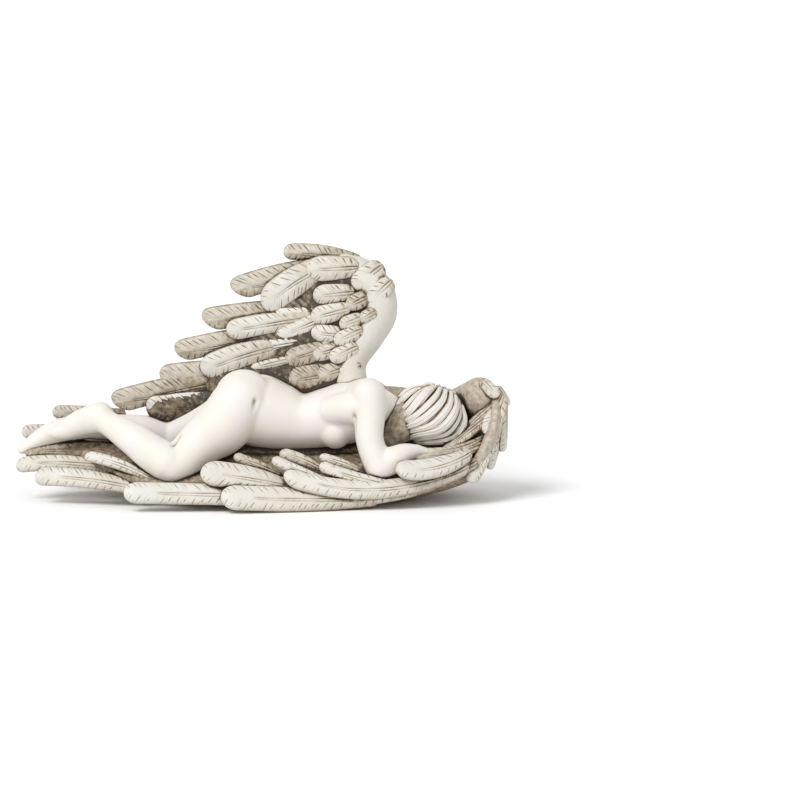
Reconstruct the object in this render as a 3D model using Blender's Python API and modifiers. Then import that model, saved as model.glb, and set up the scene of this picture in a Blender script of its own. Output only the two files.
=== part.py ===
"""Angel statue: a winged figure asleep face down on the bed of its own wing, cast in one piece."""

import math

import bmesh
import bpy
import numpy as np
from mathutils import Vector

MM = 0.001

# Overall size of the casting
LENGTH = 370.0 * MM
DEPTH = 160.0 * MM
HEIGHT = 190.4 * MM

# Figure
CHEST_HALF_WIDTH = 33.0 * MM
CHEST_HALF_DEPTH = 23.0 * MM
BUTTOCK_RADIUS = 20.5 * MM
THIGH_RADIUS = 20.5 * MM
KNEE_RADIUS = 13.5 * MM
CALF_RADIUS = 11.5 * MM
ANKLE_RADIUS = 7.5 * MM
FOOT_HALF_HEIGHT = 8.5 * MM
TOE_RADIUS = 1.9 * MM
TOE_LENGTH = 7.0 * MM
TOE_COUNT = 5
SHOULDER_RADIUS = 14.0 * MM
ARM_RADIUS = 11.0 * MM
WRIST_RADIUS = 6.2 * MM
HAND_LENGTH = 20.0 * MM
NECK_RADIUS = 11.0 * MM

# Head and hair
HEAD_HALF_LENGTH = 26.0 * MM
HEAD_HALF_WIDTH = 25.0 * MM
HEAD_HALF_HEIGHT = 23.0 * MM
LOCK_COUNT = 9
LOCK_RADIUS = 4.0 * MM

# Wings
WING_ARM_RADIUS = 13.0 * MM
PRIMARY_WIDTH = 20.0 * MM
PRIMARY_THICKNESS = 7.5 * MM
COVERT_WIDTH = 18.0 * MM
COVERT_THICKNESS = 7.5 * MM
SCALE_WIDTH = 15.0 * MM
SCALE_THICKNESS = 6.5 * MM
BED_FEATHER_WIDTH = 13.5 * MM
BED_FEATHER_THICKNESS = 9.0 * MM

# Mesh
TRIANGLES = 9500
BODY_VOXEL = 1.5 * MM
CAST_VOXEL = 1.1 * MM

AWAY = Vector((0.0, 1.0, 0.0))
UP = Vector((0.0, 0.0, 1.0))
VIEWER = Vector((0.0, -1.0, 0.0))


def at(across, back, rise):
    """Point from shares in hundredths of the length, the depth and the height."""
    return Vector((across * LENGTH, back * DEPTH, rise * HEIGHT)) / 100.0


def spline(points, count):
    """Even samples of a smooth curve through all the points."""
    known = np.array([tuple(p) for p in points], float)
    if len(known) == 1:
        return np.repeat(known, count, axis=0)
    padded = np.vstack([2 * known[0] - known[1], known, 2 * known[-1] - known[-2]])
    made = []
    for t in np.linspace(0.0, len(known) - 1.0, count):
        i = min(int(t), len(known) - 2)
        f = t - i
        a, b, c, d = padded[i : i + 4]
        made.append(
            0.5
            * (
                2 * b
                + (c - a) * f
                + (2 * a - 5 * b + 4 * c - d) * f**2
                + (3 * b - a - 3 * c + d) * f**3
            )
        )
    return np.array(made)


def close_rings(name, rings):
    """Closed mesh object from rings of points, with a centre point at each end."""
    mesh = bpy.data.meshes.new(name)
    work = bmesh.new()
    rows = [[work.verts.new(p) for p in ring] for ring in rings]
    sides = len(rows[0])
    for low, high in zip(rows, rows[1:]):
        for i in range(sides):
            j = (i + 1) % sides
            work.faces.new((low[i], low[j], high[j], high[i]))
    for row in (rows[0], rows[-1]):
        middle = work.verts.new(sum((v.co for v in row), Vector()) / sides)
        for i in range(sides):
            work.faces.new((row[i], row[(i + 1) % sides], middle))
    bmesh.ops.recalc_face_normals(work, faces=work.faces)
    work.to_mesh(mesh)
    work.free()
    body = bpy.data.objects.new(name, mesh)
    HELPERS.objects.link(body)
    return body


def limb(name, spots, wide, high, up=UP, sides=20, steps=22, fullness=2.0):
    """Rounded body along a curve, with its two half sizes at each spot."""
    line = spline(spots, steps)
    sizes = spline(list(zip(wide, high)), steps)
    rings = []
    for i in range(steps):
        ahead = Vector(line[min(i + 1, steps - 1)] - line[max(i - 1, 0)]).normalized()
        side = up.cross(ahead).normalized()
        over = ahead.cross(side)
        ends = [(0.0, 1.0)]
        if i == 0:
            ends = [(-math.sin(a), math.cos(a)) for a in (1.45, 1.1, 0.75, 0.4, 0.0)]
        if i == steps - 1:
            ends = [(math.sin(a), math.cos(a)) for a in (0.0, 0.4, 0.75, 1.1, 1.45)]
        for reach, scale in ends:
            centre = Vector(line[i]) + ahead * reach * float(min(sizes[i]))
            rings.append(
                [
                    centre
                    + side * (round_side(turn, fullness)[0] * sizes[i][0] * scale)
                    + over * (round_side(turn, fullness)[1] * sizes[i][1] * scale)
                    for turn in np.linspace(0.0, 2 * math.pi, sides, endpoint=False)
                ]
            )
    return close_rings(name, rings)


def round_side(turn, fullness):
    """Point of a rounded section: a circle at 2, fuller above it."""
    c, s = math.cos(turn), math.sin(turn)
    power = 2.0 / fullness
    return math.copysign(abs(c) ** power, c), math.copysign(abs(s) ** power, s)


def swell(name, centre, sizes):
    """Smooth swelling: a ball with three half sizes."""
    mesh = bpy.data.meshes.new(name)
    work = bmesh.new()
    bmesh.ops.create_uvsphere(work, u_segments=24, v_segments=16, radius=1.0)
    bmesh.ops.scale(work, vec=sizes, verts=work.verts)
    bmesh.ops.translate(work, vec=centre, verts=work.verts)
    work.to_mesh(mesh)
    work.free()
    body = bpy.data.objects.new(name, mesh)
    HELPERS.objects.link(body)
    return body


def feather(name, root, tip, width, thickness, face=VIEWER, bend=0.0, lift=0.0, steps=16, sides=16):
    """Chunky carved feather from its root to its rounded tip, flat side to the face."""
    run = tip - root
    side = face.cross(run).normalized()
    over = run.cross(side).normalized()
    if over.dot(face) < 0:
        over = -over
    blunt = min(0.5, 0.55 * width / run.length)
    rings = []
    for i in range(steps):
        t = 1.0 - (1.0 - i / (steps - 1)) ** 1.5
        bow = 4.0 * t * (1.0 - t)
        spine = root + run * t + side * (bend * bow) + over * (lift * bow)
        share = 0.74 + 0.26 * math.sin(min(t / 0.5, 1.0) * math.pi / 2)
        deep = 0.5 * thickness * min(1.0, 0.45 + share * 0.6)
        if t > 1.0 - blunt:
            near = max(1.0 - ((t - 1.0 + blunt) / blunt) ** 2.2, 0.0) ** (1 / 2.2)
            share *= max(near, 0.05)
            deep *= max(near, 0.05) ** 0.6
        rings.append(
            [
                spine
                + side * (round_side(turn, 2.6)[0] * 0.5 * width * share)
                + over * (round_side(turn, 2.6)[1] * deep)
                for turn in np.linspace(0.0, 2 * math.pi, sides, endpoint=False)
            ]
        )
    return close_rings(name, rings)


def feather_row(name, tips, roots, count, widths, thickness, face=VIEWER, bend=0.0, lift=0.0):
    """Row of feathers between a curve of tips and a curve of roots."""
    made = []
    ends = spline(tips, count)
    starts = spline(roots, count)
    spans = spline([(w,) for w in widths], count)
    for i in range(count):
        made.append(
            feather(
                f"{name}_{i + 1}",
                Vector(starts[i]),
                Vector(ends[i]),
                float(spans[i][0]),
                thickness,
                face,
                bend,
                lift,
            )
        )
    return made


def fuse(name, bodies, voxel, relax):
    """One closed mesh from overlapping bodies, with the seams between them relaxed."""
    mesh = bpy.data.meshes.new(name)
    work = bmesh.new()
    for body in bodies:
        work.from_mesh(body.data)
        bpy.data.objects.remove(body)
    work.to_mesh(mesh)
    work.free()
    whole = bpy.data.objects.new(name, mesh)
    HELPERS.objects.link(whole)
    grid = whole.modifiers.new("Fuse", "REMESH")
    grid.mode = "VOXEL"
    grid.voxel_size = voxel
    grid.use_smooth_shade = True
    soft = whole.modifiers.new("Relax", "SMOOTH")
    soft.factor = 0.5
    soft.iterations = relax
    return settle(whole)


def settle(body):
    """Turn a body with modifiers into its plain mesh."""
    seen = body.evaluated_get(bpy.context.evaluated_depsgraph_get())
    mesh = bpy.data.meshes.new_from_object(seen)
    body.modifiers.clear()
    body.data = mesh
    return body


def build_torso():
    """Trunk from the pelvis to the neck, with the two shoulders."""
    wide = [0.85, 0.94, 0.86, 0.79, 0.88, 1.0, 0.98, 0.62, 0.36, 0.32]
    high = [0.86, 1.17, 1.08, 0.90, 0.96, 1.0, 0.85, 0.66, 0.46, 0.44]
    bodies = [
        limb(
            "trunk",
            [
                at(-5.7, 0.0, 36.0),
                at(-1.6, 0.0, 34.8),
                at(3.4, 0.0, 31.9),
                at(8.1, 0.0, 30.1),
                at(13.3, 0.0, 31.8),
                at(17.8, 0.0, 34.1),
                at(21.1, 0.0, 35.3),
                at(24.3, 0.0, 34.4),
                at(27.5, -1.2, 32.9),
                at(30.8, -1.9, 32.2),
            ],
            [CHEST_HALF_WIDTH * w for w in wide],
            [CHEST_HALF_DEPTH * h for h in high],
            fullness=2.3,
            steps=30,
            sides=28,
        ),
        limb(
            "shoulders",
            [at(21.3, -20.0, 42.8), at(20.1, -8.8, 40.9), at(19.9, 0.0, 39.3), at(20.4, 8.8, 37.5), at(22.0, 20.0, 35.6)],
            [SHOULDER_RADIUS * 0.85, SHOULDER_RADIUS, SHOULDER_RADIUS, SHOULDER_RADIUS, SHOULDER_RADIUS * 0.85],
            [SHOULDER_RADIUS * 0.9, SHOULDER_RADIUS, SHOULDER_RADIUS, SHOULDER_RADIUS, SHOULDER_RADIUS * 0.9],
        ),
        swell("near_breast", at(14.8, -11.9, 27.9), Vector((11, 10, 11)) * MM),
        swell("far_breast", at(15.1, 11.9, 23.6), Vector((11, 10, 11)) * MM),
        swell("near_blade", at(17.7, -10.0, 42.7), Vector((15, 12, 8)) * MM),
        swell("far_blade", at(18.0, 10.0, 39.0), Vector((15, 12, 8)) * MM),
    ]
    for name, centre in (("near", at(-3.6, -8.8, 40.8)), ("far", at(-3.7, 8.8, 37.8))):
        size = BUTTOCK_RADIUS
        bodies.append(swell(f"{name}_buttock", centre, Vector((size * 1.05, size * 0.85, size))))
    return bodies


def build_near_leg():
    """Leg on the viewer's side: thigh forward to the knee, shin back to the crossed foot."""
    thigh = THIGH_RADIUS
    return [
        limb(
            "near_thigh",
            [at(-3.6, -9.4, 40.1), at(-7.6, -14.4, 30.5), at(-11.6, -20.0, 25.3), at(-14.9, -25.0, 20.1), at(-17.5, -27.5, 16.9)],
            [thigh * 1.0, thigh * 1.0, thigh * 0.84, thigh * 0.72, KNEE_RADIUS * 0.96],
            [thigh * 1.05, thigh * 1.02, thigh * 0.83, thigh * 0.70, KNEE_RADIUS],
        ),
        limb(
            "near_shin",
            [at(-18.9, -27.5, 19.3), at(-22.5, -23.8, 23.9), at(-25.5, -19.4, 27.0), at(-28.4, -15.0, 29.3), at(-31.4, -11.2, 32.0)],
            [KNEE_RADIUS * 0.95, CALF_RADIUS, CALF_RADIUS * 0.88, ANKLE_RADIUS, ANKLE_RADIUS],
            [KNEE_RADIUS, CALF_RADIUS, CALF_RADIUS * 0.88, ANKLE_RADIUS * 1.1, ANKLE_RADIUS],
        ),
        limb(
            "near_foot",
            [at(-32.2, -10.6, 33.9), at(-34.6, -10.0, 31.5), at(-37.3, -8.8, 28.7), at(-39.1, -8.1, 27.1)],
            [ANKLE_RADIUS * 0.9, ANKLE_RADIUS, ANKLE_RADIUS * 0.9, ANKLE_RADIUS * 0.6],
            [FOOT_HALF_HEIGHT, FOOT_HALF_HEIGHT * 0.95, FOOT_HALF_HEIGHT * 0.9, FOOT_HALF_HEIGHT * 0.85],
        ),
    ] + build_toes("near_toe", at(-39.3, -8.8, 29.9), at(-38.9, -9.4, 24.4), Vector((-0.97, -0.15, -0.2)))


def build_toes(name, first, last, aim):
    """Five short toes side by side between two points, the great toe first."""
    made = []
    for i in range(TOE_COUNT):
        share = i / (TOE_COUNT - 1)
        radius = TOE_RADIUS * (1.25 - 0.35 * share)
        reach = TOE_LENGTH * (1.0 - 0.25 * share)
        start = first.lerp(last, share)
        made.append(
            limb(
                f"{name}_{i + 1}",
                [start, start + aim * reach * 0.5, start + aim * reach],
                [radius, radius * 0.9, radius],
                [radius, radius * 0.9, radius],
                sides=12,
                steps=6,
            )
        )
    return made


def build_far_leg():
    """Leg on the far side, its foot passing under the near one."""
    thigh = THIGH_RADIUS
    return [
        limb(
            "far_thigh",
            [at(-3.3, 9.4, 37.0), at(-8.6, 12.5, 30.7), at(-14.0, 15.0, 25.7), at(-18.9, 16.2, 21.6)],
            [thigh * 0.95, thigh * 0.88, thigh * 0.76, KNEE_RADIUS],
            [thigh * 1.0, thigh * 0.86, thigh * 0.80, KNEE_RADIUS],
        ),
        limb(
            "far_shin",
            [at(-19.7, 16.2, 21.6), at(-24.9, 12.5, 25.3), at(-30.3, 7.5, 26.8), at(-35.6, 2.5, 28.2)],
            [KNEE_RADIUS * 0.9, CALF_RADIUS, CALF_RADIUS * 0.85, ANKLE_RADIUS],
            [KNEE_RADIUS * 0.9, CALF_RADIUS * 0.95, CALF_RADIUS * 0.85, ANKLE_RADIUS],
        ),
        limb(
            "far_foot",
            [at(-36.8, 1.9, 28.3), at(-41.2, 0.0, 27.0), at(-44.8, -1.2, 23.6), at(-47.8, -2.5, 20.2)],
            [ANKLE_RADIUS, ANKLE_RADIUS, ANKLE_RADIUS * 0.9, ANKLE_RADIUS * 0.75],
            [FOOT_HALF_HEIGHT, FOOT_HALF_HEIGHT * 0.95, FOOT_HALF_HEIGHT * 0.72, FOOT_HALF_HEIGHT * 0.5],
        ),
    ] + build_toes("far_toe", at(-47.7, -5.0, 20.9), at(-47.6, 2.5, 19.6), Vector((-0.9, 0.0, -0.42)))


def build_arms():
    """Both arms, folded under the head."""
    arm = ARM_RADIUS
    bodies = []
    for name, shoulder, upper, low, elbow, fore, wrist, hand in (
        (
            "near",
            at(21.5, -20.6, 43.7),
            at(21.7, -23.1, 35.8),
            at(21.6, -25.6, 25.9),
            at(22.8, -27.5, 15.5),
            at(27.4, -24.4, 19.0),
            at(31.9, -20.6, 20.1),
            at(36.4, -16.9, 20.7),
        ),
        (
            "far",
            at(22.2, 20.6, 37.9),
            at(22.7, 23.1, 29.2),
            at(23.1, 25.0, 18.4),
            at(24.8, 26.2, 9.2),
            at(29.7, 21.2, 11.4),
            at(34.1, 15.0, 13.7),
            at(38.0, 8.8, 15.2),
        ),
    ):
        bodies += [
            limb(
                f"{name}_upper_arm",
                [shoulder, upper, low, elbow],
                [SHOULDER_RADIUS * 0.92, arm, arm * 0.95, arm * 0.9],
                [SHOULDER_RADIUS * 0.9, arm, arm, arm * 0.9],
                up=AWAY,
            ),
            limb(
                f"{name}_forearm",
                [elbow, fore, wrist],
                [arm * 0.9, arm * 0.8, WRIST_RADIUS],
                [arm * 0.9, arm * 0.75, WRIST_RADIUS * 0.8],
            ),
            limb(
                f"{name}_hand",
                [wrist, hand],
                [WRIST_RADIUS, WRIST_RADIUS * 1.2],
                [WRIST_RADIUS * 0.8, WRIST_RADIUS * 0.6],
                steps=6,
            ),
        ]
    return bodies


def on_head(side, rise, toward, out=0.0):
    """Point on the head, from shares of its half length and half height, on one face."""
    reach = math.hypot(side, rise)
    if reach > 0.99:
        side, rise, reach = side * 0.99 / reach, rise * 0.99 / reach, 0.99
    way = Vector((side, toward * math.sqrt(1.0 - reach * reach), rise))
    return HEAD + way * Vector((HEAD_HALF_LENGTH, HEAD_HALF_WIDTH, HEAD_HALF_HEIGHT)) + way * out


def build_hair(toward):
    """Thick locks that sweep from the crown over one side of the head to the nape."""
    made = []
    parting = spline([(-0.36, 0.93), (0.28, 0.95), (0.80, 0.58), (0.93, -0.25)], LOCK_COUNT)
    first_bend = spline([(-0.70, 0.60), (0.06, 0.48), (0.66, 0.05), (0.76, -0.66)], LOCK_COUNT)
    second_bend = spline([(-0.94, 0.20), (-0.46, -0.08), (0.16, -0.38), (0.42, -0.90)], LOCK_COUNT)
    ends = spline([(-0.99, -0.02), (-1.08, -0.50), (-0.82, -0.60), (-0.28, -0.80)], LOCK_COUNT)
    for i in range(LOCK_COUNT):
        spots = [
            on_head(*parting[i], toward, LOCK_RADIUS * -0.3),
            on_head(*first_bend[i], toward, LOCK_RADIUS * 0.35),
            on_head(*second_bend[i], toward, LOCK_RADIUS * 0.35),
            on_head(*ends[i], toward, LOCK_RADIUS * 0.1),
        ]
        made.append(
            limb(
                f"lock_{'near' if toward < 0 else 'far'}_{i + 1}",
                spots,
                [LOCK_RADIUS * 0.7, LOCK_RADIUS, LOCK_RADIUS, LOCK_RADIUS * 0.75],
                [LOCK_RADIUS * 0.7, LOCK_RADIUS * 0.9, LOCK_RADIUS * 0.9, LOCK_RADIUS * 0.6],
                up=VIEWER,
                sides=10,
                steps=14,
            )
        )
    return made


def build_head():
    """Head lying face down on the arms, under its hair."""
    sizes = Vector((HEAD_HALF_LENGTH, HEAD_HALF_WIDTH, HEAD_HALF_HEIGHT))
    return [
        swell("skull", HEAD, sizes),
        limb(
            "nape_hair",
            [at(29.5, -2.5, 37.4), at(27.5, -3.8, 31.2), at(26.2, -5.0, 25.8)],
            [14 * MM, 13 * MM, 8 * MM],
            [9 * MM, 8 * MM, 5 * MM],
        ),
    ]


def build_raised_wing():
    """Wing held up behind the back: smooth arm, and rows of feathers that lap over each other."""
    arm = WING_ARM_RADIUS
    bodies = [
        limb(
            "raised_arm",
            [
                at(17.9, 3.8, 44.9),
                at(18.5, 5.6, 53.4),
                at(21.4, 6.9, 63.2),
                at(23.9, 7.5, 72.7),
                at(23.3, 8.1, 81.7),
                at(20.0, 8.8, 89.2),
                at(15.2, 10.0, 95.3),
                at(10.7, 10.6, 96.9),
            ],
            [arm * 0.9, arm * 0.8, arm * 0.95, arm * 1.0, arm * 0.85, arm * 0.68, arm * 0.5, arm * 0.35],
            [arm * 0.9, arm * 0.8, arm * 0.95, arm * 1.0, arm * 0.85, arm * 0.68, arm * 0.5, arm * 0.35],
            up=AWAY,
            steps=36,
        ),
        feather("crest", at(18.0, 10.0, 91.9), at(4.0, 12.5, 95.4), PRIMARY_WIDTH * 0.68, PRIMARY_THICKNESS, bend=3 * MM),
    ]
    for i, (start, end, share) in enumerate(
        (
            (at(24.0, 5.6, 81.1), at(5.0, 11.9, 82.8), 0.19),
            (at(24.0, 5.0, 71.3), at(-0.3, 11.9, 67.4), 0.19),
            (at(19.9, 5.0, 59.8), at(-5.6, 12.5, 55.4), 0.19),
            (at(17.5, 5.6, 47.9), at(-11.8, 13.1, 43.9), 0.16),
        )
    ):
        bodies.append(feather(f"wing_core_{i + 1}", start, end, share * HEIGHT, PRIMARY_THICKNESS * 1.8))
    primary = PRIMARY_WIDTH
    bodies += feather_row(
        "primary",
        [at(-6.2, 13.1, 81.6), at(-12.3, 14.4, 68.9), at(-18.0, 15.6, 56.5), at(-21.2, 16.2, 45.7), at(-30.9, 18.1, 35.2)],
        [at(18.0, 8.1, 83.8), at(18.0, 8.1, 73.1), at(16.7, 8.1, 64.0), at(14.5, 8.1, 54.0), at(7.4, 10.6, 42.7)],
        5,
        [primary * 0.95, primary * 1.0, primary * 1.0, primary * 1.15, primary * 0.95],
        PRIMARY_THICKNESS,
        bend=2.5 * MM,
    )
    bodies.append(
        feather("low_primary", at(-4.9, 11.9, 42.7), at(-23.9, 14.4, 33.9), primary * 0.8, PRIMARY_THICKNESS * 0.9)
    )
    covert = COVERT_WIDTH
    bodies += feather_row(
        "second",
        [at(0.1, 8.8, 75.6), at(-7.4, 10.0, 64.8), at(-12.6, 11.2, 49.3)],
        [at(13.5, 5.6, 89.9), at(11.0, 5.6, 69.4), at(5.3, 6.2, 55.1)],
        3,
        [covert * 1.15, covert * 1.1, covert * 1.2],
        COVERT_THICKNESS,
        bend=1.5 * MM,
    )
    bodies += feather_row(
        "between",
        [at(2.3, 8.8, 70.8), at(2.9, 7.5, 62.9), at(-4.0, 9.4, 57.3), at(-2.6, 9.4, 50.5)],
        [at(14.5, 5.6, 74.9), at(14.5, 5.0, 69.4), at(7.4, 6.2, 60.2), at(7.4, 6.2, 53.5)],
        4,
        [covert * 0.9, covert * 1.0, covert * 0.85, covert * 0.6],
        COVERT_THICKNESS,
    )
    bodies += feather_row(
        "third",
        [at(8.9, 5.6, 89.5), at(10.0, 4.4, 79.3), at(9.8, 3.8, 71.1), at(9.8, 3.8, 64.8), at(9.8, 3.8, 56.1), at(11.0, 3.8, 48.1)],
        [at(17.9, 4.4, 89.9), at(18.3, 3.1, 82.1), at(17.5, 2.5, 75.9), at(16.7, 2.5, 69.6), at(16.3, 2.5, 60.1), at(17.5, 2.5, 51.3)],
        6,
        [covert * 1.05, covert * 0.95, covert * 0.9, covert * 0.85, covert * 0.95, covert * 0.8],
        COVERT_THICKNESS,
    )
    bodies += feather_row(
        "low_third",
        [at(4.5, 6.2, 53.5), at(4.7, 6.2, 45.6)],
        [at(13.4, 3.8, 58.4), at(15.4, 3.8, 48.9)],
        2,
        [covert * 1.0, covert * 1.15],
        COVERT_THICKNESS,
    )
    small = SCALE_WIDTH
    bodies += feather_row(
        "small",
        [at(16.9, 0.6, 78.0), at(15.6, 0.0, 67.8), at(14.4, 0.0, 61.1), at(13.6, 0.0, 54.8), at(15.6, 0.0, 49.2)],
        [at(21.9, 1.2, 83.8), at(20.7, 0.0, 73.6), at(19.1, 0.6, 66.5), at(18.7, 0.6, 60.2), at(19.5, 0.6, 53.1)],
        5,
        [small * 1.15, small * 1.0, small * 1.0, small * 0.9, small * 0.75],
        SCALE_THICKNESS,
    )
    bodies += feather_row(
        "edge",
        [at(17.9, 2.5, 84.1), at(21.7, 0.0, 77.2), at(19.7, -0.6, 70.6)],
        [at(22.0, 5.0, 93.0), at(25.2, 3.1, 85.2), at(22.7, 1.2, 73.5)],
        3,
        [small * 1.5, small * 1.35, small * 0.8],
        SCALE_THICKNESS * 1.1,
    )
    return bodies + build_raised_back()


def build_raised_back():
    """Far side of the raised wing, carved with plainer rows."""
    bodies = feather_row(
        "back_covert",
        [at(-0.3, 18.8, 80.4), at(-4.8, 20.0, 67.2), at(-8.5, 20.6, 56.4), at(-11.9, 21.2, 45.9)],
        [at(17.7, 15.0, 85.3), at(16.6, 15.0, 70.2), at(14.6, 15.0, 59.4), at(11.1, 15.6, 48.6)],
        4,
        [COVERT_WIDTH * 1.4],
        COVERT_THICKNESS,
        face=AWAY,
    )
    bodies += feather_row(
        "back_small",
        [at(9.1, 19.4, 84.3), at(7.5, 20.0, 71.1), at(5.4, 20.0, 59.1), at(4.1, 20.0, 47.0)],
        [at(23.7, 10.6, 80.8), at(24.1, 10.0, 70.5), at(21.3, 10.0, 60.2), at(19.2, 9.4, 50.7)],
        4,
        [COVERT_WIDTH * 1.35],
        COVERT_THICKNESS,
        face=AWAY,
    )
    return bodies


def build_bed():
    """Wing spread under the figure: filled mound, near and far rims of long feathers, end curl."""
    bodies = [
        limb(
            "mound",
            [
                at(-39.3, 2.5, 18.7),
                at(-31.2, 1.2, 14.8),
                at(-21.1, -1.2, 10.9),
                at(-7.0, -1.2, 8.3),
                at(7.2, 0.0, 7.2),
                at(21.5, 0.0, 7.7),
                at(33.7, 0.0, 10.8),
                at(41.9, 0.0, 13.8),
                at(45.1, 0.0, 19.4),
            ],
            [0.08 * DEPTH, 0.20 * DEPTH, 0.33 * DEPTH, 0.39 * DEPTH, 0.41 * DEPTH, 0.38 * DEPTH, 0.31 * DEPTH, 0.25 * DEPTH, 0.18 * DEPTH],
            [9 * MM, 12 * MM, 18 * MM, 21 * MM, 22 * MM, 21 * MM, 17 * MM, 13 * MM, 10 * MM],
            fullness=1.7,
            steps=40,
            sides=36,
        ),
        limb(
            "bolster",
            [at(-17.1, 0.0, 14.7), at(-2.9, 0.0, 12.9), at(11.3, 0.0, 12.7), at(27.6, 0.0, 13.3), at(37.8, 0.0, 14.7)],
            [26 * MM, 34 * MM, 38 * MM, 38 * MM, 26 * MM],
            [12 * MM, 12 * MM, 12 * MM, 13 * MM, 12 * MM],
        ),
        limb(
            "under_body",
            [at(-13.1, 3.8, 17.0), at(-0.9, 3.1, 18.1), at(13.4, 3.1, 17.9), at(27.6, 2.5, 19.3), at(35.8, 1.2, 18.6)],
            [20 * MM, 20 * MM, 20 * MM, 22 * MM, 22 * MM],
            [13 * MM, 12 * MM, 12 * MM, 12 * MM, 12 * MM],
        ),
    ]
    wide = BED_FEATHER_WIDTH
    thick = BED_FEATHER_THICKNESS
    slope = Vector((0.0, -0.8, 0.6))
    bodies += feather_row(
        "near_left",
        [at(-49.4, -7.5, 13.7), at(-44.9, -17.5, 10.2)],
        [at(-28.0, -11.2, 10.7), at(-22.7, -26.2, 6.3)],
        2,
        [wide * 0.9, wide * 0.95],
        thick,
        slope,
        lift=3 * MM,
        bend=-3 * MM,
    )
    bodies += [
        feather("under_shin", at(-19.7, -27.5, 8.8), at(-34.9, -18.8, 17.7), wide * 0.8, thick, slope, lift=3 * MM),
        feather("near_rim_1", at(1.1, -38.8, 5.3), at(-26.4, -41.2, 7.4), wide * 1.05, thick * 1.1, slope, bend=-1 * MM),
        feather("near_rim_2", at(21.2, -36.2, 3.8), at(-7.2, -46.2, 6.4), wide * 1.25, thick * 1.2, slope, bend=2 * MM),
        feather("by_knee", at(8.0, -32.5, 7.4), at(-11.3, -38.8, 15.1), wide * 1.3, thick, slope, bend=-4 * MM),
        feather("long_rim", at(41.1, -23.8, 14.4), at(5.0, -38.8, 12.2), wide * 1.15, thick * 1.2, slope, bend=10 * MM),
        feather("by_elbow", at(42.7, -21.2, 18.8), at(27.1, -37.5, 15.2), wide * 1.3, thick, slope, bend=2 * MM),
        feather("low_rim", at(41.5, -21.2, 11.7), at(12.9, -38.8, 4.3), wide * 1.1, thick * 1.2, slope, bend=6 * MM),
    ]
    bodies += feather_row(
        "nest",
        [at(-5.0, -28.8, 20.0), at(2.9, -31.2, 18.6), at(4.3, -25.0, 21.0), at(11.8, -32.5, 16.7), at(11.8, -27.5, 19.6)],
        [at(4.1, -31.2, 13.6), at(15.9, -32.5, 8.5), at(14.0, -28.8, 13.1), at(22.9, -32.5, 8.0), at(21.4, -28.8, 12.2)],
        5,
        [wide * 0.5, wide * 0.62, wide * 0.55, wide * 0.62, wide * 0.5],
        thick * 0.8,
        slope,
    )
    far = Vector((0.0, 0.8, 0.6))
    bodies += feather_row(
        "far_left",
        [at(-49.5, 12.5, 24.0), at(-43.4, 18.8, 31.3)],
        [at(-29.5, 16.2, 19.3), at(-25.5, 21.2, 26.8)],
        2,
        [wide * 0.9],
        thick * 0.8,
        far,
    )
    bodies += feather_row(
        "far_rim",
        [at(-44.9, 18.8, 14.4), at(-32.0, 31.2, 8.6), at(-15.6, 40.6, 4.8), at(3.3, 46.2, 3.8), at(20.1, 41.2, 5.4)],
        [at(-23.6, 26.2, 10.8), at(-7.2, 35.0, 6.6), at(9.5, 39.4, 5.0), at(27.3, 35.6, 6.8), at(41.6, 22.5, 14.3)],
        5,
        [wide * 1.2, wide * 1.4],
        thick * 1.2,
        far,
    )
    bodies += feather_row(
        "far_nest",
        [at(-37.9, 21.2, 17.2), at(-23.7, 31.2, 12.6), at(-7.2, 36.2, 10.9), at(9.5, 36.2, 11.5), at(25.1, 31.2, 14.3)],
        [at(-19.5, 26.2, 9.9), at(-5.1, 31.2, 7.4), at(11.6, 32.5, 7.0), at(28.2, 28.8, 9.7), at(41.5, 20.0, 16.3)],
        5,
        [wide * 1.2, wide * 1.3],
        thick,
        far,
    )
    return bodies + build_curl()


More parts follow.
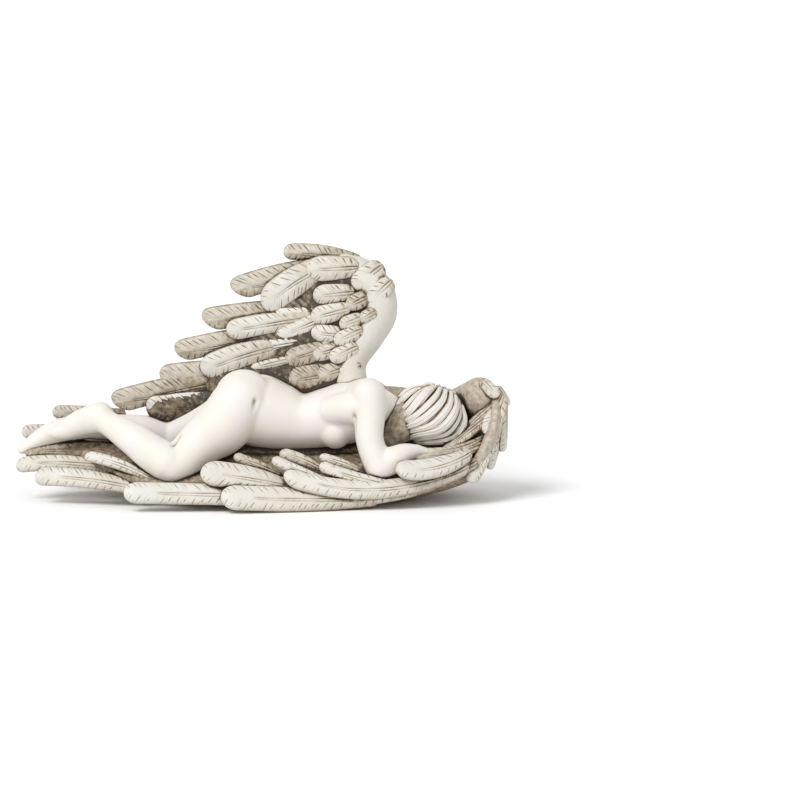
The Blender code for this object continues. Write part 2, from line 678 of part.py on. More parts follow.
def build_curl():
    """Wrist of the bed wing, curled round the head, with its short feathers."""
    bodies = [
        limb(
            "bed_arm",
            [at(18.0, 12.5, 37.6), at(24.9, 16.9, 37.9), at(32.1, 18.8, 37.6), at(38.6, 15.0, 38.7), at(42.9, 7.5, 41.8), at(45.1, 1.2, 43.6)],
            [11 * MM, 10 * MM, 10 * MM, 10 * MM, 9.5 * MM, 8.5 * MM],
            [11 * MM, 9 * MM, 9 * MM, 9 * MM, 8 * MM, 7.5 * MM],
            steps=28,
        ),
        limb(
            "curl_wall",
            [at(44.4, 3.8, 41.4), at(46.3, 0.0, 36.9), at(46.6, -3.8, 29.4), at(45.7, -6.2, 21.3), at(43.5, -10.0, 15.0)],
            [7 * MM, 10 * MM, 13 * MM, 16 * MM, 18 * MM],
            [7 * MM, 6.5 * MM, 6.5 * MM, 6.5 * MM, 7 * MM],
            up=Vector((1.0, 0.0, 0.0)),
            steps=24,
        ),
        limb(
            "back_wall",
            [at(22.3, 22.5, 25.2), at(30.1, 21.9, 25.9), at(37.3, 19.4, 26.5), at(42.3, 12.5, 27.2), at(45.2, 3.8, 28.2)],
            [6 * MM, 6 * MM, 6 * MM, 6 * MM, 6 * MM],
            [18 * MM, 20 * MM, 22 * MM, 22 * MM, 20 * MM],
            steps=20,
        ),
    ]
    outward = Vector((0.45, -0.85, 0.2))
    bodies += feather_row(
        "curl",
        [at(45.9, -5.0, 38.7), at(45.2, -13.8, 25.4), at(41.7, -23.8, 9.7)],
        [at(44.6, -1.2, 45.8), at(46.7, -5.0, 40.6), at(46.1, -11.2, 28.6)],
        3,
        [SCALE_WIDTH * 1.0, SCALE_WIDTH * 1.15, SCALE_WIDTH * 0.95],
        SCALE_THICKNESS * 1.1,
        outward,
    )
    bodies += feather_row(
        "outer_curl",
        [at(49.7, 2.5, 36.2), at(49.0, 1.2, 28.8), at(48.0, -5.0, 19.2)],
        [at(46.3, 1.2, 43.2), at(47.4, 1.2, 36.8), at(47.9, -2.5, 30.8)],
        3,
        [SCALE_WIDTH * 0.7, SCALE_WIDTH * 0.9, SCALE_WIDTH * 0.9],
        SCALE_THICKNESS,
        Vector((0.9, -0.4, 0.1)),
    )
    return bodies


def cut_underside(cast):
    """Flat foot: everything below the standing plane is cut away."""
    mesh = bpy.data.meshes.new("underside_cutter")
    work = bmesh.new()
    bmesh.ops.create_cube(work, size=1.0)
    bmesh.ops.scale(work, vec=(LENGTH * 1.4, DEPTH * 1.6, 0.3 * HEIGHT), verts=work.verts)
    bmesh.ops.translate(work, vec=(0.0, 0.0, -0.15 * HEIGHT), verts=work.verts)
    work.to_mesh(mesh)
    work.free()
    cutter = bpy.data.objects.new("underside_cutter", mesh)
    HELPERS.objects.link(cutter)
    cut = cast.modifiers.new("Underside", "BOOLEAN")
    cut.operation = "DIFFERENCE"
    cut.solver = "EXACT"
    cut.object = cutter
    settle(cast)


def size_to(cast):
    """Scale and shift the casting to its overall size, over its standing plane."""
    spots = np.empty(len(cast.data.vertices) * 3)
    cast.data.vertices.foreach_get("co", spots)
    spots = spots.reshape(-1, 3)
    low, high = spots.min(axis=0), spots.max(axis=0)
    low[2] = 0.0
    wanted = np.array((LENGTH, DEPTH, HEIGHT))
    spots = (spots - (low + high) / 2) * (wanted / (high - low))
    spots[:, 2] += HEIGHT / 2
    cast.data.vertices.foreach_set("co", spots.ravel())


def thin_out(cast):
    """Bring the casting to its number of triangles."""
    faces = sum(len(p.vertices) - 2 for p in cast.data.polygons)
    less = cast.modifiers.new("Thin", "DECIMATE")
    less.ratio = min(1.0, TRIANGLES / faces)
    less.use_collapse_triangulate = True
    settle(cast)


def resin():
    """Pale stone-filled resin."""
    made = bpy.data.materials.new("cast_stone_resin")
    made.use_nodes = True
    shader = made.node_tree.nodes["Principled BSDF"]
    shader.inputs["Base Color"].default_value = (0.74, 0.72, 0.66, 1.0)
    shader.inputs["Roughness"].default_value = 0.62
    return made


def main():
    """Build the statue."""
    figure = build_torso() + build_near_leg() + build_far_leg() + build_arms() + build_head()
    body = fuse("figure", figure, BODY_VOXEL, 5)
    carved = build_hair(-1.0) + build_hair(1.0) + build_raised_wing() + build_bed()
    cast = fuse("angel_statue", [body] + carved, CAST_VOXEL, 1)
    thin_out(cast)
    size_to(cast)
    cut_underside(cast)
    cast.data.materials.clear()
    cast.data.materials.append(resin())
    cast.data.shade_smooth()
    cast.data.set_sharp_from_angle(angle=math.radians(50.0))
    HELPERS.objects.unlink(cast)
    STATUE.objects.link(cast)


for known in list(bpy.data.objects):
    bpy.data.objects.remove(known)
STATUE = bpy.data.collections.new("angel_statue_casting")
HELPERS = bpy.data.collections.new("helpers")
bpy.context.scene.collection.children.link(STATUE)
bpy.context.scene.collection.children.link(HELPERS)
HELPERS.hide_render = True
HEAD = at(34.0, -2.5, 32.6)
main()
for helper in HELPERS.objects:
    helper.hide_render = True
    helper.display_type = "WIRE"
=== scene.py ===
"""Looks of a sleeping angel statue: stone-filled resin, cast in one piece, with a brown antique wash and
painted shade in its recesses.

The figure lies face down on the bed of its own wing and the other wing stands up behind its back.
Every form is placed by shares of the casting's length, depth and height, which come from the frame.
"""

import logging
import math
from dataclasses import dataclass
from enum import Enum

import bmesh
import bpy
import numpy as np
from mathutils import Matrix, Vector
from mathutils.bvhtree import BVHTree


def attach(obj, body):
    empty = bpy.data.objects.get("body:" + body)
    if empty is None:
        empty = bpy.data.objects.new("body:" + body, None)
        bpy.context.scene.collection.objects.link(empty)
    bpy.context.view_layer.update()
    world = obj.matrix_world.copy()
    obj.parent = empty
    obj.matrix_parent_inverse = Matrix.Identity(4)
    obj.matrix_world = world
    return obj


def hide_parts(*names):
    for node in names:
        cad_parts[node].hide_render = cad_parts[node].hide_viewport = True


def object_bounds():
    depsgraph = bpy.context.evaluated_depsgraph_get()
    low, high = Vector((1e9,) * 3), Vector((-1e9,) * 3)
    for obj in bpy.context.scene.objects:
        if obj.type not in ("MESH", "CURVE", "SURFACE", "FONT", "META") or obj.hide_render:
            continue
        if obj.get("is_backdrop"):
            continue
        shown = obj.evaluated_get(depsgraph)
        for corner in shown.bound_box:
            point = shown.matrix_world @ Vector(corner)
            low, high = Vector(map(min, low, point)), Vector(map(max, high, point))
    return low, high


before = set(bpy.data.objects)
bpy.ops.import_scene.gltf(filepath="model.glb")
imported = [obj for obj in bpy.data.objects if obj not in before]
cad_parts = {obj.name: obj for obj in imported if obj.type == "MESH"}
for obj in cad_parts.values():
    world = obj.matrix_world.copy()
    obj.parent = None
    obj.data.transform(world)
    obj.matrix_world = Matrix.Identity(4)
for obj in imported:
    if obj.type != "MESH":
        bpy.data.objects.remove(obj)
CAD_LOW, CAD_HIGH = (np.array(corner, float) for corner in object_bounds())
LENGTH, DEPTH, HEIGHT = CAD_HIGH - CAD_LOW

LOG = logging.getLogger("angel_statue")
NODE = "angel_statue"
BODY = "root"
MM = 0.001
MARKS = ("cut", "tone", "comb")
IN_MM = ("width", "thickness", "bend", "lift")

AWAY = np.array((0.0, 1.0, 0.0))
UP = np.array((0.0, 0.0, 1.0))
VIEWER = np.array((0.0, -1.0, 0.0))


def at(across: float, back: float, rise: float) -> np.ndarray:
    """Point from shares in hundredths of the length, the depth and the height.

    Args:
        across: Share of the length, from the middle.
        back: Share of the depth, from the middle, away from the viewer.
        rise: Share of the height, from the standing plane.

    Returns:
        The point in metres.
    """
    return np.array((across * LENGTH, back * DEPTH, rise * HEIGHT)) / 100.0


def unit(way: np.ndarray) -> np.ndarray:
    """Direction of unit length, for one vector or for rows of them."""
    return way / np.maximum(np.linalg.norm(way, axis=-1, keepdims=True), 1e-12)


def times(size: float, *shares: float) -> list[float]:
    """The size multiplied by each of the shares."""
    return [size * share for share in shares]


def spline(points: list, count: int) -> np.ndarray:
    """Even samples of a smooth curve through all the points.

    Args:
        points: Points of any number of values each.
        count: Number of samples.

    Returns:
        One row for each sample.
    """
    known = np.array([np.atleast_1d(p) for p in points], float)
    if len(known) == 1:
        return np.repeat(known, count, axis=0)
    padded = np.vstack([2 * known[0] - known[1], known, 2 * known[-1] - known[-2]])
    place = np.linspace(0.0, len(known) - 1.0, count)
    i = np.minimum(place.astype(int), len(known) - 2)
    f = (place - i)[:, None]
    a, b, c, d = (padded[i + k] for k in range(4))
    return 0.5 * (2 * b + (c - a) * f + (2 * a - 5 * b + 4 * c - d) * f**2 + (3 * b - a - 3 * c + d) * f**3)


@dataclass
class Shell:
    """Closed skin of one form, before the forms are dressed together.

    Its marks are, for each point, the engraved share, the share of brown wash and painted shade given to its
    form, and the place along the barbs, across them and of the feather's own grain.
    """

    points: np.ndarray
    faces: list
    marks: np.ndarray

    @classmethod
    def from_rings(cls, rings: np.ndarray, marks: np.ndarray) -> "Shell":
        """Skin over rings of points, with a middle point at each end.

        Args:
            rings: Points by ring and by place in the ring.
            marks: Marks of those points.

        Returns:
            The closed skin, with its faces pointing out.
        """
        count, sides = rings.shape[:2]
        points = np.vstack([rings.reshape(-1, 3), rings[0].mean(axis=0), rings[-1].mean(axis=0)])
        ends = [marks[0].mean(axis=0), marks[-1].mean(axis=0)]
        marks = np.vstack([marks.reshape(-1, marks.shape[-1]), *ends])
        low = np.arange(count * sides).reshape(count, sides)
        turned = np.roll(low, -1, axis=1)
        quads = np.stack([low[:-1], turned[:-1], turned[1:], low[1:]], axis=-1).reshape(-1, 4)
        faces = quads.tolist()
        faces += [[count * sides, b, a] for a, b in zip(low[0], turned[0])]
        faces += [[count * sides + 1, a, b] for a, b in zip(low[-1], turned[-1])]
        halves = [face[:3] for face in faces] + [[f[0], f[2], f[3]] for f in faces if len(f) == 4]
        a, b, c = (points[np.array(halves)[:, k]] - points.mean(axis=0) for k in range(3))
        if np.einsum("ij,ij->", a, np.cross(b, c)) < 0:
            faces = [face[::-1] for face in faces]
        return cls(points, faces, marks)


def superellipse(turns: np.ndarray, fullness: float) -> tuple[np.ndarray, np.ndarray]:
    """Places round a section: a circle at a fullness of 2, squarer above it."""
    c, s = np.cos(turns), np.sin(turns)
    power = 2.0 / fullness
    return np.sign(c) * np.abs(c) ** power, np.sign(s) * np.abs(s) ** power


def plain_marks(rings: np.ndarray, tone: float) -> np.ndarray:
    """Marks of a form without engraving.

    Args:
        rings: Points by ring and by place in the ring.
        tone: Share of brown wash and painted shade given to the form.

    Returns:
        Marks for each of the points.
    """
    marks = np.zeros(rings.shape[:2] + (len(MARKS) + 2,))
    marks[..., 1] = tone
    return marks


@dataclass
class Limb:
    """Rounded form along a curve, with its two half sizes at each spot."""

    spots: list
    wide: list
    high: list
    up: np.ndarray = None
    sides: int = 36
    steps: int = 60
    fullness: float = 2.0
    tone: float = 0.0

    def shell(self) -> Shell:
        """Skin of the limb, with rounded ends."""
        up = UP if self.up is None else self.up
        line = spline(self.spots, self.steps)
        sizes = spline(list(zip(self.wide, self.high)), self.steps)
        ahead = unit(np.gradient(line, axis=0))
        side = unit(np.cross(up, ahead))
        over = np.cross(ahead, side)
        turn = np.linspace(0.0, math.pi / 2, 8)[1:] * 0.97
        start, end = np.zeros(len(turn), int), np.full(len(turn), self.steps - 1)
        station = np.concatenate([start, np.arange(self.steps), end])
        reach = np.concatenate([-np.sin(turn[::-1]), np.zeros(self.steps), np.sin(turn)])
        scale = np.concatenate([np.cos(turn[::-1]), np.ones(self.steps), np.cos(turn)])
        centre = line[station] + ahead[station] * (reach * sizes[station].min(axis=1))[:, None]
        x, z = superellipse(np.linspace(0.0, 2 * math.pi, self.sides, endpoint=False), self.fullness)
        wide = (sizes[station, 0] * scale)[:, None, None]
        high = (sizes[station, 1] * scale)[:, None, None]
        rings = centre[:, None] + side[station][:, None] * wide * x[None, :, None]
        rings = rings + over[station][:, None] * high * z[None, :, None]
        return Shell.from_rings(rings, plain_marks(rings, self.tone))


@dataclass
class Swell:
    """Smooth swelling with three half sizes."""

    centre: np.ndarray
    sizes: tuple
    tone: float = 0.0

    def shell(self) -> Shell:
        """Skin of the swelling, from pole to pole."""
        polar = np.linspace(0.06, math.pi - 0.06, 26)
        turn = np.linspace(0.0, 2 * math.pi, 36, endpoint=False)
        ring = np.stack(
            [
                np.sin(polar)[:, None] * np.cos(turn),
                np.sin(polar)[:, None] * np.sin(turn),
                np.repeat(np.cos(polar)[:, None], len(turn), axis=1),
            ],
            axis=-1,
        )
        rings = self.centre + ring * np.array(self.sizes)
        return Shell.from_rings(rings, plain_marks(rings, self.tone))


class Carving(Enum):
    """How deeply a feather is engraved."""

    FULL = 1.0
    PLAIN = 0.6


@dataclass
class Feather:
    """Thick carved feather: a paddle with two shaft grooves and slanting barb cuts on its face.

    The rows of its mesh slant as the barbs do, so that each cut runs along one row.
    """

    root: np.ndarray
    tip: np.ndarray
    width: float
    thickness: float
    face: np.ndarray = None
    bend: float = 0.0
    lift: float = 0.0
    taper: float = 0.70
    skew: float = 0.0
    shaft: float = -0.15
    slant: float = 0.85
    tone: float = 0.15
    low_tone: float = 0.0
    carving: Carving = Carving.FULL
    seed: int = 0
    pitch: float = 0.5 * MM
    seen: float = 50.0 * MM
    fullness: float = 2.3
    cut_spacing: float = 5.0 * MM
    cut_depth: float = 0.7 * MM
    cut_radius: float = 0.38 * MM
    shaft_gap: float = 1.5 * MM

    def outline(self, t: np.ndarray, length: float) -> tuple[np.ndarray, np.ndarray]:
        """Half width and half thickness along the feather.

        Args:
            t: Shares of the length, 0 at the root and 1 at the tip.
            length: Length of the feather.

        Returns:
            The two half sizes at each share.
        """
        blunt = min(0.5, 0.6 * self.width / length)
        share = self.taper + (1.0 - self.taper) * np.sin(np.clip(t / 0.7, 0.0, 1.0) * math.pi / 2)
        end = np.clip((t - 1.0 + blunt) / blunt, 0.0, 1.0)
        start = np.clip(1.0 - t / min(0.3, 0.35 * self.width / length), 0.0, 1.0)
        near = np.maximum(1.0 - end**2.1, 0.0) ** (1 / 2.1) * np.sqrt(np.maximum(1.0 - start**2, 0.0))
        deep = (0.6 + 0.4 * share) * np.maximum(near, 0.02) ** 0.55
        return 0.5 * self.width * share * np.maximum(near, 0.02), 0.5 * self.thickness * deep

    def columns(self, s: np.ndarray, half: np.ndarray, length: float) -> tuple[np.ndarray, np.ndarray, tuple]:
        """Places of the mesh's columns across the face.

        Args:
            s: Places of the rows along the feather.
            half: Half width at each row.
            length: Length of the feather.

        Returns:
            Shares of the half width by row and column, the shaft's share at each row, and the two
            columns that run in the shaft's grooves.
        """
        left = np.clip((length - s) / length, 0.0, 1.0)
        shaft = self.shaft * np.clip(left / 0.3, 0.3, 1.0)
        gap = (0.15 * MM + self.shaft_gap * left) / half
        step = self.cut_radius * 1.2 / half
        outer = np.linspace(0.0, 1.0, max(6, int(0.42 * self.width / (1.1 * MM))))[1:]
        spread = 0.6 * outer + 0.4 * np.sin(outer * math.pi / 2)
        high_start, low_start = shaft + gap + step, shaft - gap - step
        high = high_start[:, None] + (1.0 - high_start)[:, None] * spread[::-1]
        low = low_start[:, None] - (1.0 + low_start)[:, None] * spread
        ridge = 0.35 * gap
        middle = np.stack([high_start, shaft + gap, shaft + ridge, shaft - ridge, shaft - gap, low_start], 1)
        count = len(outer)
        return np.hstack([high, middle, low]), shaft, (count + 1, count + 4)

    def engraving(
        self, s: np.ndarray, x: np.ndarray, shaft: np.ndarray, grooves: tuple, length: float
    ) -> np.ndarray:
        """Share of the engraved depth at each row and column.

        Args:
            s: Places of the rows along the feather.
            x: Places of the columns across it.
            shaft: The shaft's place across it at each row.
            grooves: The columns in the shaft's grooves.
            length: Length of the feather.

        Returns:
            Shares from 0 to 1.
        """
        rng = np.random.default_rng(self.seed)
        marks = np.zeros_like(x)
        from_tip = length - s
        fade = np.clip((from_tip - 0.2 * min(length, self.seen)) / (6.0 * MM), 0.0, 1.0)
        for column, weight in zip(grooves, (1.0, 0.75)):
            worn = 0.75 + 0.25 * np.sin(s / (4.0 * MM) + self.seed)
            marks[:, column] = fade * weight * worn
        across = np.where(x > shaft[:, None], (x - shaft[:, None]) / (1.0 - shaft[:, None]), 0.0)
        under = np.where(x < shaft[:, None], (shaft[:, None] - x) / (1.0 + shaft[:, None]), 0.0)
        reach = min(length, self.seen)
        for place, fill in ((across, 1.0), (under, 0.85)):
            start = length - (3.0 + 2.0 * rng.random()) * MM
            while start > length - reach:
                row = int(np.argmin(np.abs(s - start)))
                bold = rng.random() < 0.72 * fill
                edge = 0.96 - 0.14 * rng.random()
                inner = (0.30 + 0.25 * rng.random()) if bold else (0.15 + 0.5 * rng.random())
                depth = (0.8 + 0.2 * rng.random()) if bold else 0.35
                along = np.exp(-(((s - s[row]) / self.cut_radius) ** 2)) * depth
                span = np.clip((place - inner) / 0.10, 0.0, 1.0) * np.clip((edge - place) / 0.06, 0.0, 1.0)
                marks = np.maximum(marks, along[:, None] * span)
                start -= self.cut_spacing * (0.55 + 0.6 * rng.random()) * (1.3 if bold else 0.6)
        return marks * self.carving.value

    def shell(self) -> Shell:
        """Skin of the feather, finer where it shows."""
        face = VIEWER if self.face is None else np.array(self.face)
        run = self.tip - self.root
        length = float(np.linalg.norm(run))
        side = unit(np.cross(face, run))
        over = unit(np.cross(run, side))
        over = over if over @ face > 0 else -over
        side = side if side @ UP > 0 else -side
        hidden = length - min(length, self.seen)
        coarse = np.linspace(0.0, hidden, 6, endpoint=False) if hidden > 4 * MM else np.zeros(0)
        fine = np.arange(hidden if hidden > 4 * MM else 0.0, length - 0.7 * self.pitch, self.pitch)
        s = np.concatenate([coarse, fine, length - np.array((0.5, 0.2, 0.04, 0.0)) * self.pitch])
        half = np.full(len(s), 0.45 * self.width)
        x, shaft, grooves = self.columns(s, half, length)
        front = x.shape[1]
        x = np.hstack([x, np.repeat(np.linspace(-1.0, 1.0, 8)[None, 1:-1], len(s), axis=0)])
        fade = np.clip((length - s) / (1.55 * self.slant * 0.5 * self.width), 0.0, 1.0)
        fade *= np.clip(s / (0.3 * length), 0.0, 1.0)
        sweep = self.slant * 0.5 * self.width * np.abs(x - shaft[:, None]) * fade[:, None]
        wander = 0.35 * MM * np.sin(s[:, None] / (5.0 * MM) + x * 2.5 + self.seed) * fade[:, None]
        along = np.clip(s[:, None] + sweep + wander, 0.0, length)
        t = along / length
        wide, deep = self.outline(t, length)
        aside = wide * x
        lean = self.skew * aside * np.clip((t - 0.55) / 0.45, 0.0, 1.0) ** 1.5
        marks = np.zeros(x.shape + (len(MARKS) + 2,))
        marks[:, :front, 0] = self.engraving(s, x[:, :front], shaft, grooves, length)
        # Wash share of each point: the feather's own brown wash, painted shade at its edges and towards its
        # root where the next feathers lap over it, and painted shade on the half below the shaft.
        rim = np.clip((np.abs(x) - 0.82) / 0.18, 0.0, 1.0)
        base = np.clip(1.0 - (along - hidden) / (0.55 * min(length, self.seen)), 0.0, 1.0)
        marks[..., 1] = self.tone + 0.30 * rim**2 + 0.25 * base + self.low_tone * (x < shaft[:, None])
        marks[..., 2], marks[..., 3], marks[..., 4] = s[:, None] + 0.0 * x, aside, 0.01 * self.seed
        dome = np.maximum(1.0 - np.abs(x) ** self.fullness, 0.0) ** (1 / self.fullness)
        up = deep * dome
        up[:, front:] *= -1.0
        up -= marks[..., 0] * self.cut_depth
        bow = 4.0 * t * (1.0 - t)
        rings = self.root + unit(run) * (along + lean)[..., None]
        rings = rings + side * (aside + self.bend * bow)[..., None]
        rings = rings + over * (up + self.lift * bow)[..., None]
        return Shell.from_rings(rings, marks)


def feather_row(
    tips: list,
    roots: list,
    count: int,
    widths: list,
    thickness: float,
    **looks: object,
) -> list[Feather]:
    """Row of feathers between a curve of tips and a curve of roots.

    Args:
        tips: Spots of the curve of tips.
        roots: Spots of the curve of roots.
        count: Number of feathers.
        widths: Widths along the row.
        thickness: Thickness of each feather.
        **looks: Other fields of the feathers.

    Returns:
        The feathers, in order.
    """
    ends, starts, spans = spline(tips, count), spline(roots, count), spline(widths, count)
    first = looks.pop("seed", 1)
    return [
        Feather(starts[i], ends[i], float(spans[i][0]), thickness, seed=first * 40 + i, **looks)
        for i in range(count)
    ]


def plume(rows: tuple, own: str, first: int, **looks: object) -> list[Feather]:
    """Feathers that are placed one by one.

    Args:
        rows: For each feather its root, its tip and its values of the fields of its own.
        own: Names of those fields. Sizes among them are in millimetres.
        first: Seed of the first feather.
        **looks: Fields that all of them share.

    Returns:
        The feathers, in order.
    """
    made = []
    for i, (root, tip, *values) in enumerate(rows):
        fields = {name: value * MM if name in IN_MM else value for name, value in zip(own.split(), values)}
        made.append(Feather(root, tip, seed=first + i, **fields, **looks))
    return made


class Mesher:
    """Turns skins into Blender meshes."""

    @staticmethod
    def join(name: str, shells: list[Shell]) -> bpy.types.Object:
        """One object that holds several skins.

        Args:
            name: Name of the object.
            shells: Its skins.

        Returns:
            The object, linked to the scene, with the engraved share as an attribute.
        """
        points, faces, marks, first = [], [], [], 0
        for shell in shells:
            points.append(shell.points)
            marks.append(shell.marks)
            faces += [[i + first for i in face] for face in shell.faces]
            first += len(shell.points)
        mesh = bpy.data.meshes.new(name)
        mesh.from_pydata(np.vstack(points).tolist(), [], faces)
        marks = np.vstack(marks).astype(np.float32)
        for i, mark in enumerate(MARKS[:2]):
            mesh.attributes.new(mark, "FLOAT", "POINT").data.foreach_set("value", marks[:, i].copy())
        comb = mesh.attributes.new(MARKS[2], "FLOAT_VECTOR", "POINT")
        comb.data.foreach_set("vector", marks[:, 2:5].ravel())
        body = bpy.data.objects.new(name, mesh)
        bpy.context.scene.collection.objects.link(body)
        return body

    @staticmethod
    def settle(body: bpy.types.Object) -> bpy.types.Object:
        """Make the modifiers part of the mesh."""
        seen = body.evaluated_get(bpy.context.evaluated_depsgraph_get())
        mesh = bpy.data.meshes.new_from_object(seen)
        body.modifiers.clear()
        body.data = mesh
        return body

    @staticmethod
    def fuse(body: bpy.types.Object, voxel: float, relax: int) -> bpy.types.Object:
        """Run overlapping skins into one, with soft seams.

        Args:
            body: The object to change.
            voxel: Size of the grid.
            relax: Number of smoothing passes.

        Returns:
            The same object.
        """
        grid = body.modifiers.new("Fuse", "REMESH")
        grid.mode = "VOXEL"
        grid.voxel_size = voxel
        if relax:
            soft = body.modifiers.new("Relax", "SMOOTH")
            soft.factor = 0.5
            soft.iterations = relax
        return Mesher.settle(body)

    @staticmethod
    def points(body: bpy.types.Object) -> np.ndarray:
        """Places of the mesh's points."""
        spots = np.empty(len(body.data.vertices) * 3)
        body.data.vertices.foreach_get("co", spots)
        return spots.reshape(-1, 3)

    @staticmethod
    def normals(body: bpy.types.Object) -> np.ndarray:
        """Outward directions at the mesh's points."""
        ways = np.empty(len(body.data.vertices) * 3)
        body.data.vertex_normals.foreach_get("vector", ways)
        return ways.reshape(-1, 3)

    @staticmethod
    def place(body: bpy.types.Object, spots: np.ndarray) -> None:
        """Move the mesh's points."""
        body.data.vertices.foreach_set("co", spots.ravel())
        body.data.update()

    @staticmethod
    def mark(body: bpy.types.Object, name: str, values: np.ndarray) -> None:
        """Write one value for each of the mesh's points."""
        data = body.data.attributes.get(name) or body.data.attributes.new(name, "FLOAT", "POINT")
        data.data.foreach_set("value", values.astype(np.float32))


def gap_to_line(spots: np.ndarray, line: np.ndarray) -> np.ndarray:
    """Distance from points to a line of straight runs.

    Args:
        spots: The points.
        line: Ends of the runs, in order.

    Returns:
        One distance for each point.
    """
    best = np.full(len(spots), np.inf)
    for a, b in zip(line, line[1:]):
        run = b - a
        share = np.clip((spots - a) @ run / (run @ run), 0.0, 1.0)
        best = np.minimum(best, np.linalg.norm(spots - a - share[:, None] * run, axis=1))
    return best


@dataclass
class Crease:
    """Line pressed into the skin."""

    spots: list
    depth: float
    radius: float

    def press(self, spots: np.ndarray, normals: np.ndarray, cut: np.ndarray) -> tuple[np.ndarray, np.ndarray]:
        """Press the crease.

        Args:
            spots: Points of the skin.
            normals: Their outward directions.
            cut: Their engraved shares.

        Returns:
            The moved points and the new shares.
        """
        gap = gap_to_line(spots, spline(self.spots, 12))
        press = np.exp(-((gap / self.radius) ** 2))
        # The new shares darken the crease in the material: painted shade in the fold, with the brown wash it
        # holds.
        return spots - normals * (press * self.depth)[:, None], np.maximum(cut, press * 0.55)


@dataclass
class Figure:
    """Nude figure, face down, head to the right, the near knee drawn up and the feet crossed."""

    chest_width: float = 33.0 * MM
    chest_depth: float = 23.0 * MM
    buttock: float = 20.5 * MM
    thigh: float = 20.5 * MM
    knee: float = 14.0 * MM
    calf: float = 12.5 * MM
    ankle: float = 9.0 * MM
    foot: float = 9.0 * MM
    shoulder: float = 14.0 * MM
    arm: float = 11.0 * MM
    wrist: float = 6.0 * MM
    voxel: float = 1.05 * MM

    def trunk(self) -> list:
        """Pelvis, waist, chest, shoulders and neck."""
        wide = [0.85, 0.94, 0.86, 0.79, 0.88, 1.0, 0.98, 0.62, 0.36, 0.32]
        high = [0.86, 1.17, 1.08, 0.90, 0.96, 1.0, 0.85, 0.66, 0.46, 0.44]
        spots = [
            at(-5.7, 0.0, 36.0),
            at(-1.6, 0.0, 34.8),
            at(3.4, 0.0, 31.9),
            at(8.1, 0.0, 30.1),
            at(13.3, 0.0, 31.8),
            at(17.8, 0.0, 34.1),
            at(21.1, 0.0, 35.3),
            at(24.3, 0.0, 34.4),
            at(27.5, -1.2, 32.9),
            at(30.8, -1.9, 32.2),
        ]
        forms = [
            Limb(
                spots,
                times(self.chest_width, *wide),
                times(self.chest_depth, *high),
                fullness=2.3,
                sides=48,
            ),
            Limb(
                [
                    at(21.3, -20.0, 42.5), at(20.1, -8.8, 40.5), at(19.9, 0.0, 38.9),
                    at(20.4, 8.8, 37.1), at(22.0, 20.0, 35.2),
                ],
                times(self.shoulder, 0.85, 1.0, 1.0, 1.0, 0.85),
                times(self.shoulder, 0.9, 1.0, 1.0, 1.0, 0.9),
            ),
            Swell(at(14.8, -12.5, 27.2), (12 * MM, 11 * MM, 12 * MM)),
            Swell(at(15.1, 12.5, 22.8), (12 * MM, 11 * MM, 12 * MM)),
        ]
        for toward in (-1.0, 1.0):
            shoulder, blade, flank = at(22.2, 18.8, 38.5), at(18.7, 16.9, 37.5), at(14.3, 12.5, 35.6)
            flip = np.array((1.0, toward, 1.0))
            forms.append(
                Limb(
                    [shoulder * flip, blade * flip, flank * flip],
                    times(self.shoulder, 0.9, 1.05, 0.9),
                    times(self.shoulder, 0.85, 0.95, 0.85),
                )
            )
        for centre in (at(-3.6, -8.8, 40.8), at(-3.7, 8.8, 37.8)):
            forms.append(Swell(centre, (self.buttock * 1.05, self.buttock * 0.85, self.buttock)))
        return forms

    def near_leg(self) -> list:
        """Leg on the viewer's side."""
        t, k, c, a, f = self.thigh, self.knee, self.calf, self.ankle, self.foot
        return [
            Limb(
                [
                    at(-3.6, -9.4, 39.7), at(-7.6, -14.4, 30.1), at(-11.6, -20.0, 24.5),
                    at(-14.9, -25.0, 18.9), at(-17.3, -27.5, 16.1),
                ],
                [t, t, t * 0.86, t * 0.75, k],
                [t * 1.06, t * 1.03, t * 0.86, t * 0.73, k * 1.03],
            ),
            Limb(
                [
                    at(-18.3, -28.1, 17.4), at(-21.3, -25.6, 20.6), at(-24.3, -22.5, 24.6),
                    at(-27.1, -18.8, 27.7), at(-30.0, -14.4, 30.4), at(-32.2, -11.2, 32.8),
                ],
                [k * 0.97, k * 0.95, c, c * 0.88, a, a],
                [k * 1.03, k * 0.98, c, c * 0.9, a * 1.05, a * 1.05],
            ),
            Limb(
                [
                    at(-31.8, -11.2, 33.2), at(-34.4, -10.0, 32.1), at(-37.1, -9.4, 30.3),
                    at(-39.1, -8.8, 28.3), at(-41.1, -8.8, 27.0),
                ],
                [a * 0.95, a * 0.9, a, a * 0.95, a * 0.75],
                [f * 1.3, f * 1.15, f * 1.0, f * 0.82, f * 0.58],
                fullness=2.2,
            ),
        ]

    def far_leg(self) -> list:
        """Leg on the far side, its foot under the near one."""
        t, k, c, a, f = self.thigh, self.knee, self.calf, self.ankle, self.foot
        return [
            Limb(
                [at(-3.3, 9.4, 37.0), at(-8.6, 12.5, 30.7), at(-14.0, 15.0, 25.7), at(-18.9, 16.2, 21.6)],
                [t * 0.95, t * 0.88, t * 0.76, k],
                [t, t * 0.88, t * 0.82, k],
            ),
            Limb(
                [at(-19.7, 16.2, 21.6), at(-24.9, 12.5, 25.3), at(-30.3, 7.5, 26.8), at(-35.6, 2.5, 27.8)],
                [k * 0.9, c, c * 0.85, a],
                [k * 0.95, c * 0.93, c * 0.8, a],
            ),
            Limb(
                [
                    at(-36.4, 1.9, 27.5), at(-39.8, 0.6, 26.9), at(-42.8, 0.0, 25.2),
                    at(-45.8, -1.2, 22.6), at(-48.6, -2.5, 19.4),
                ],
                [a, a, a, a * 0.9, a * 0.6],
                [f, f * 1.05, f * 1.0, f * 0.72, f * 0.42],
            ),
        ]

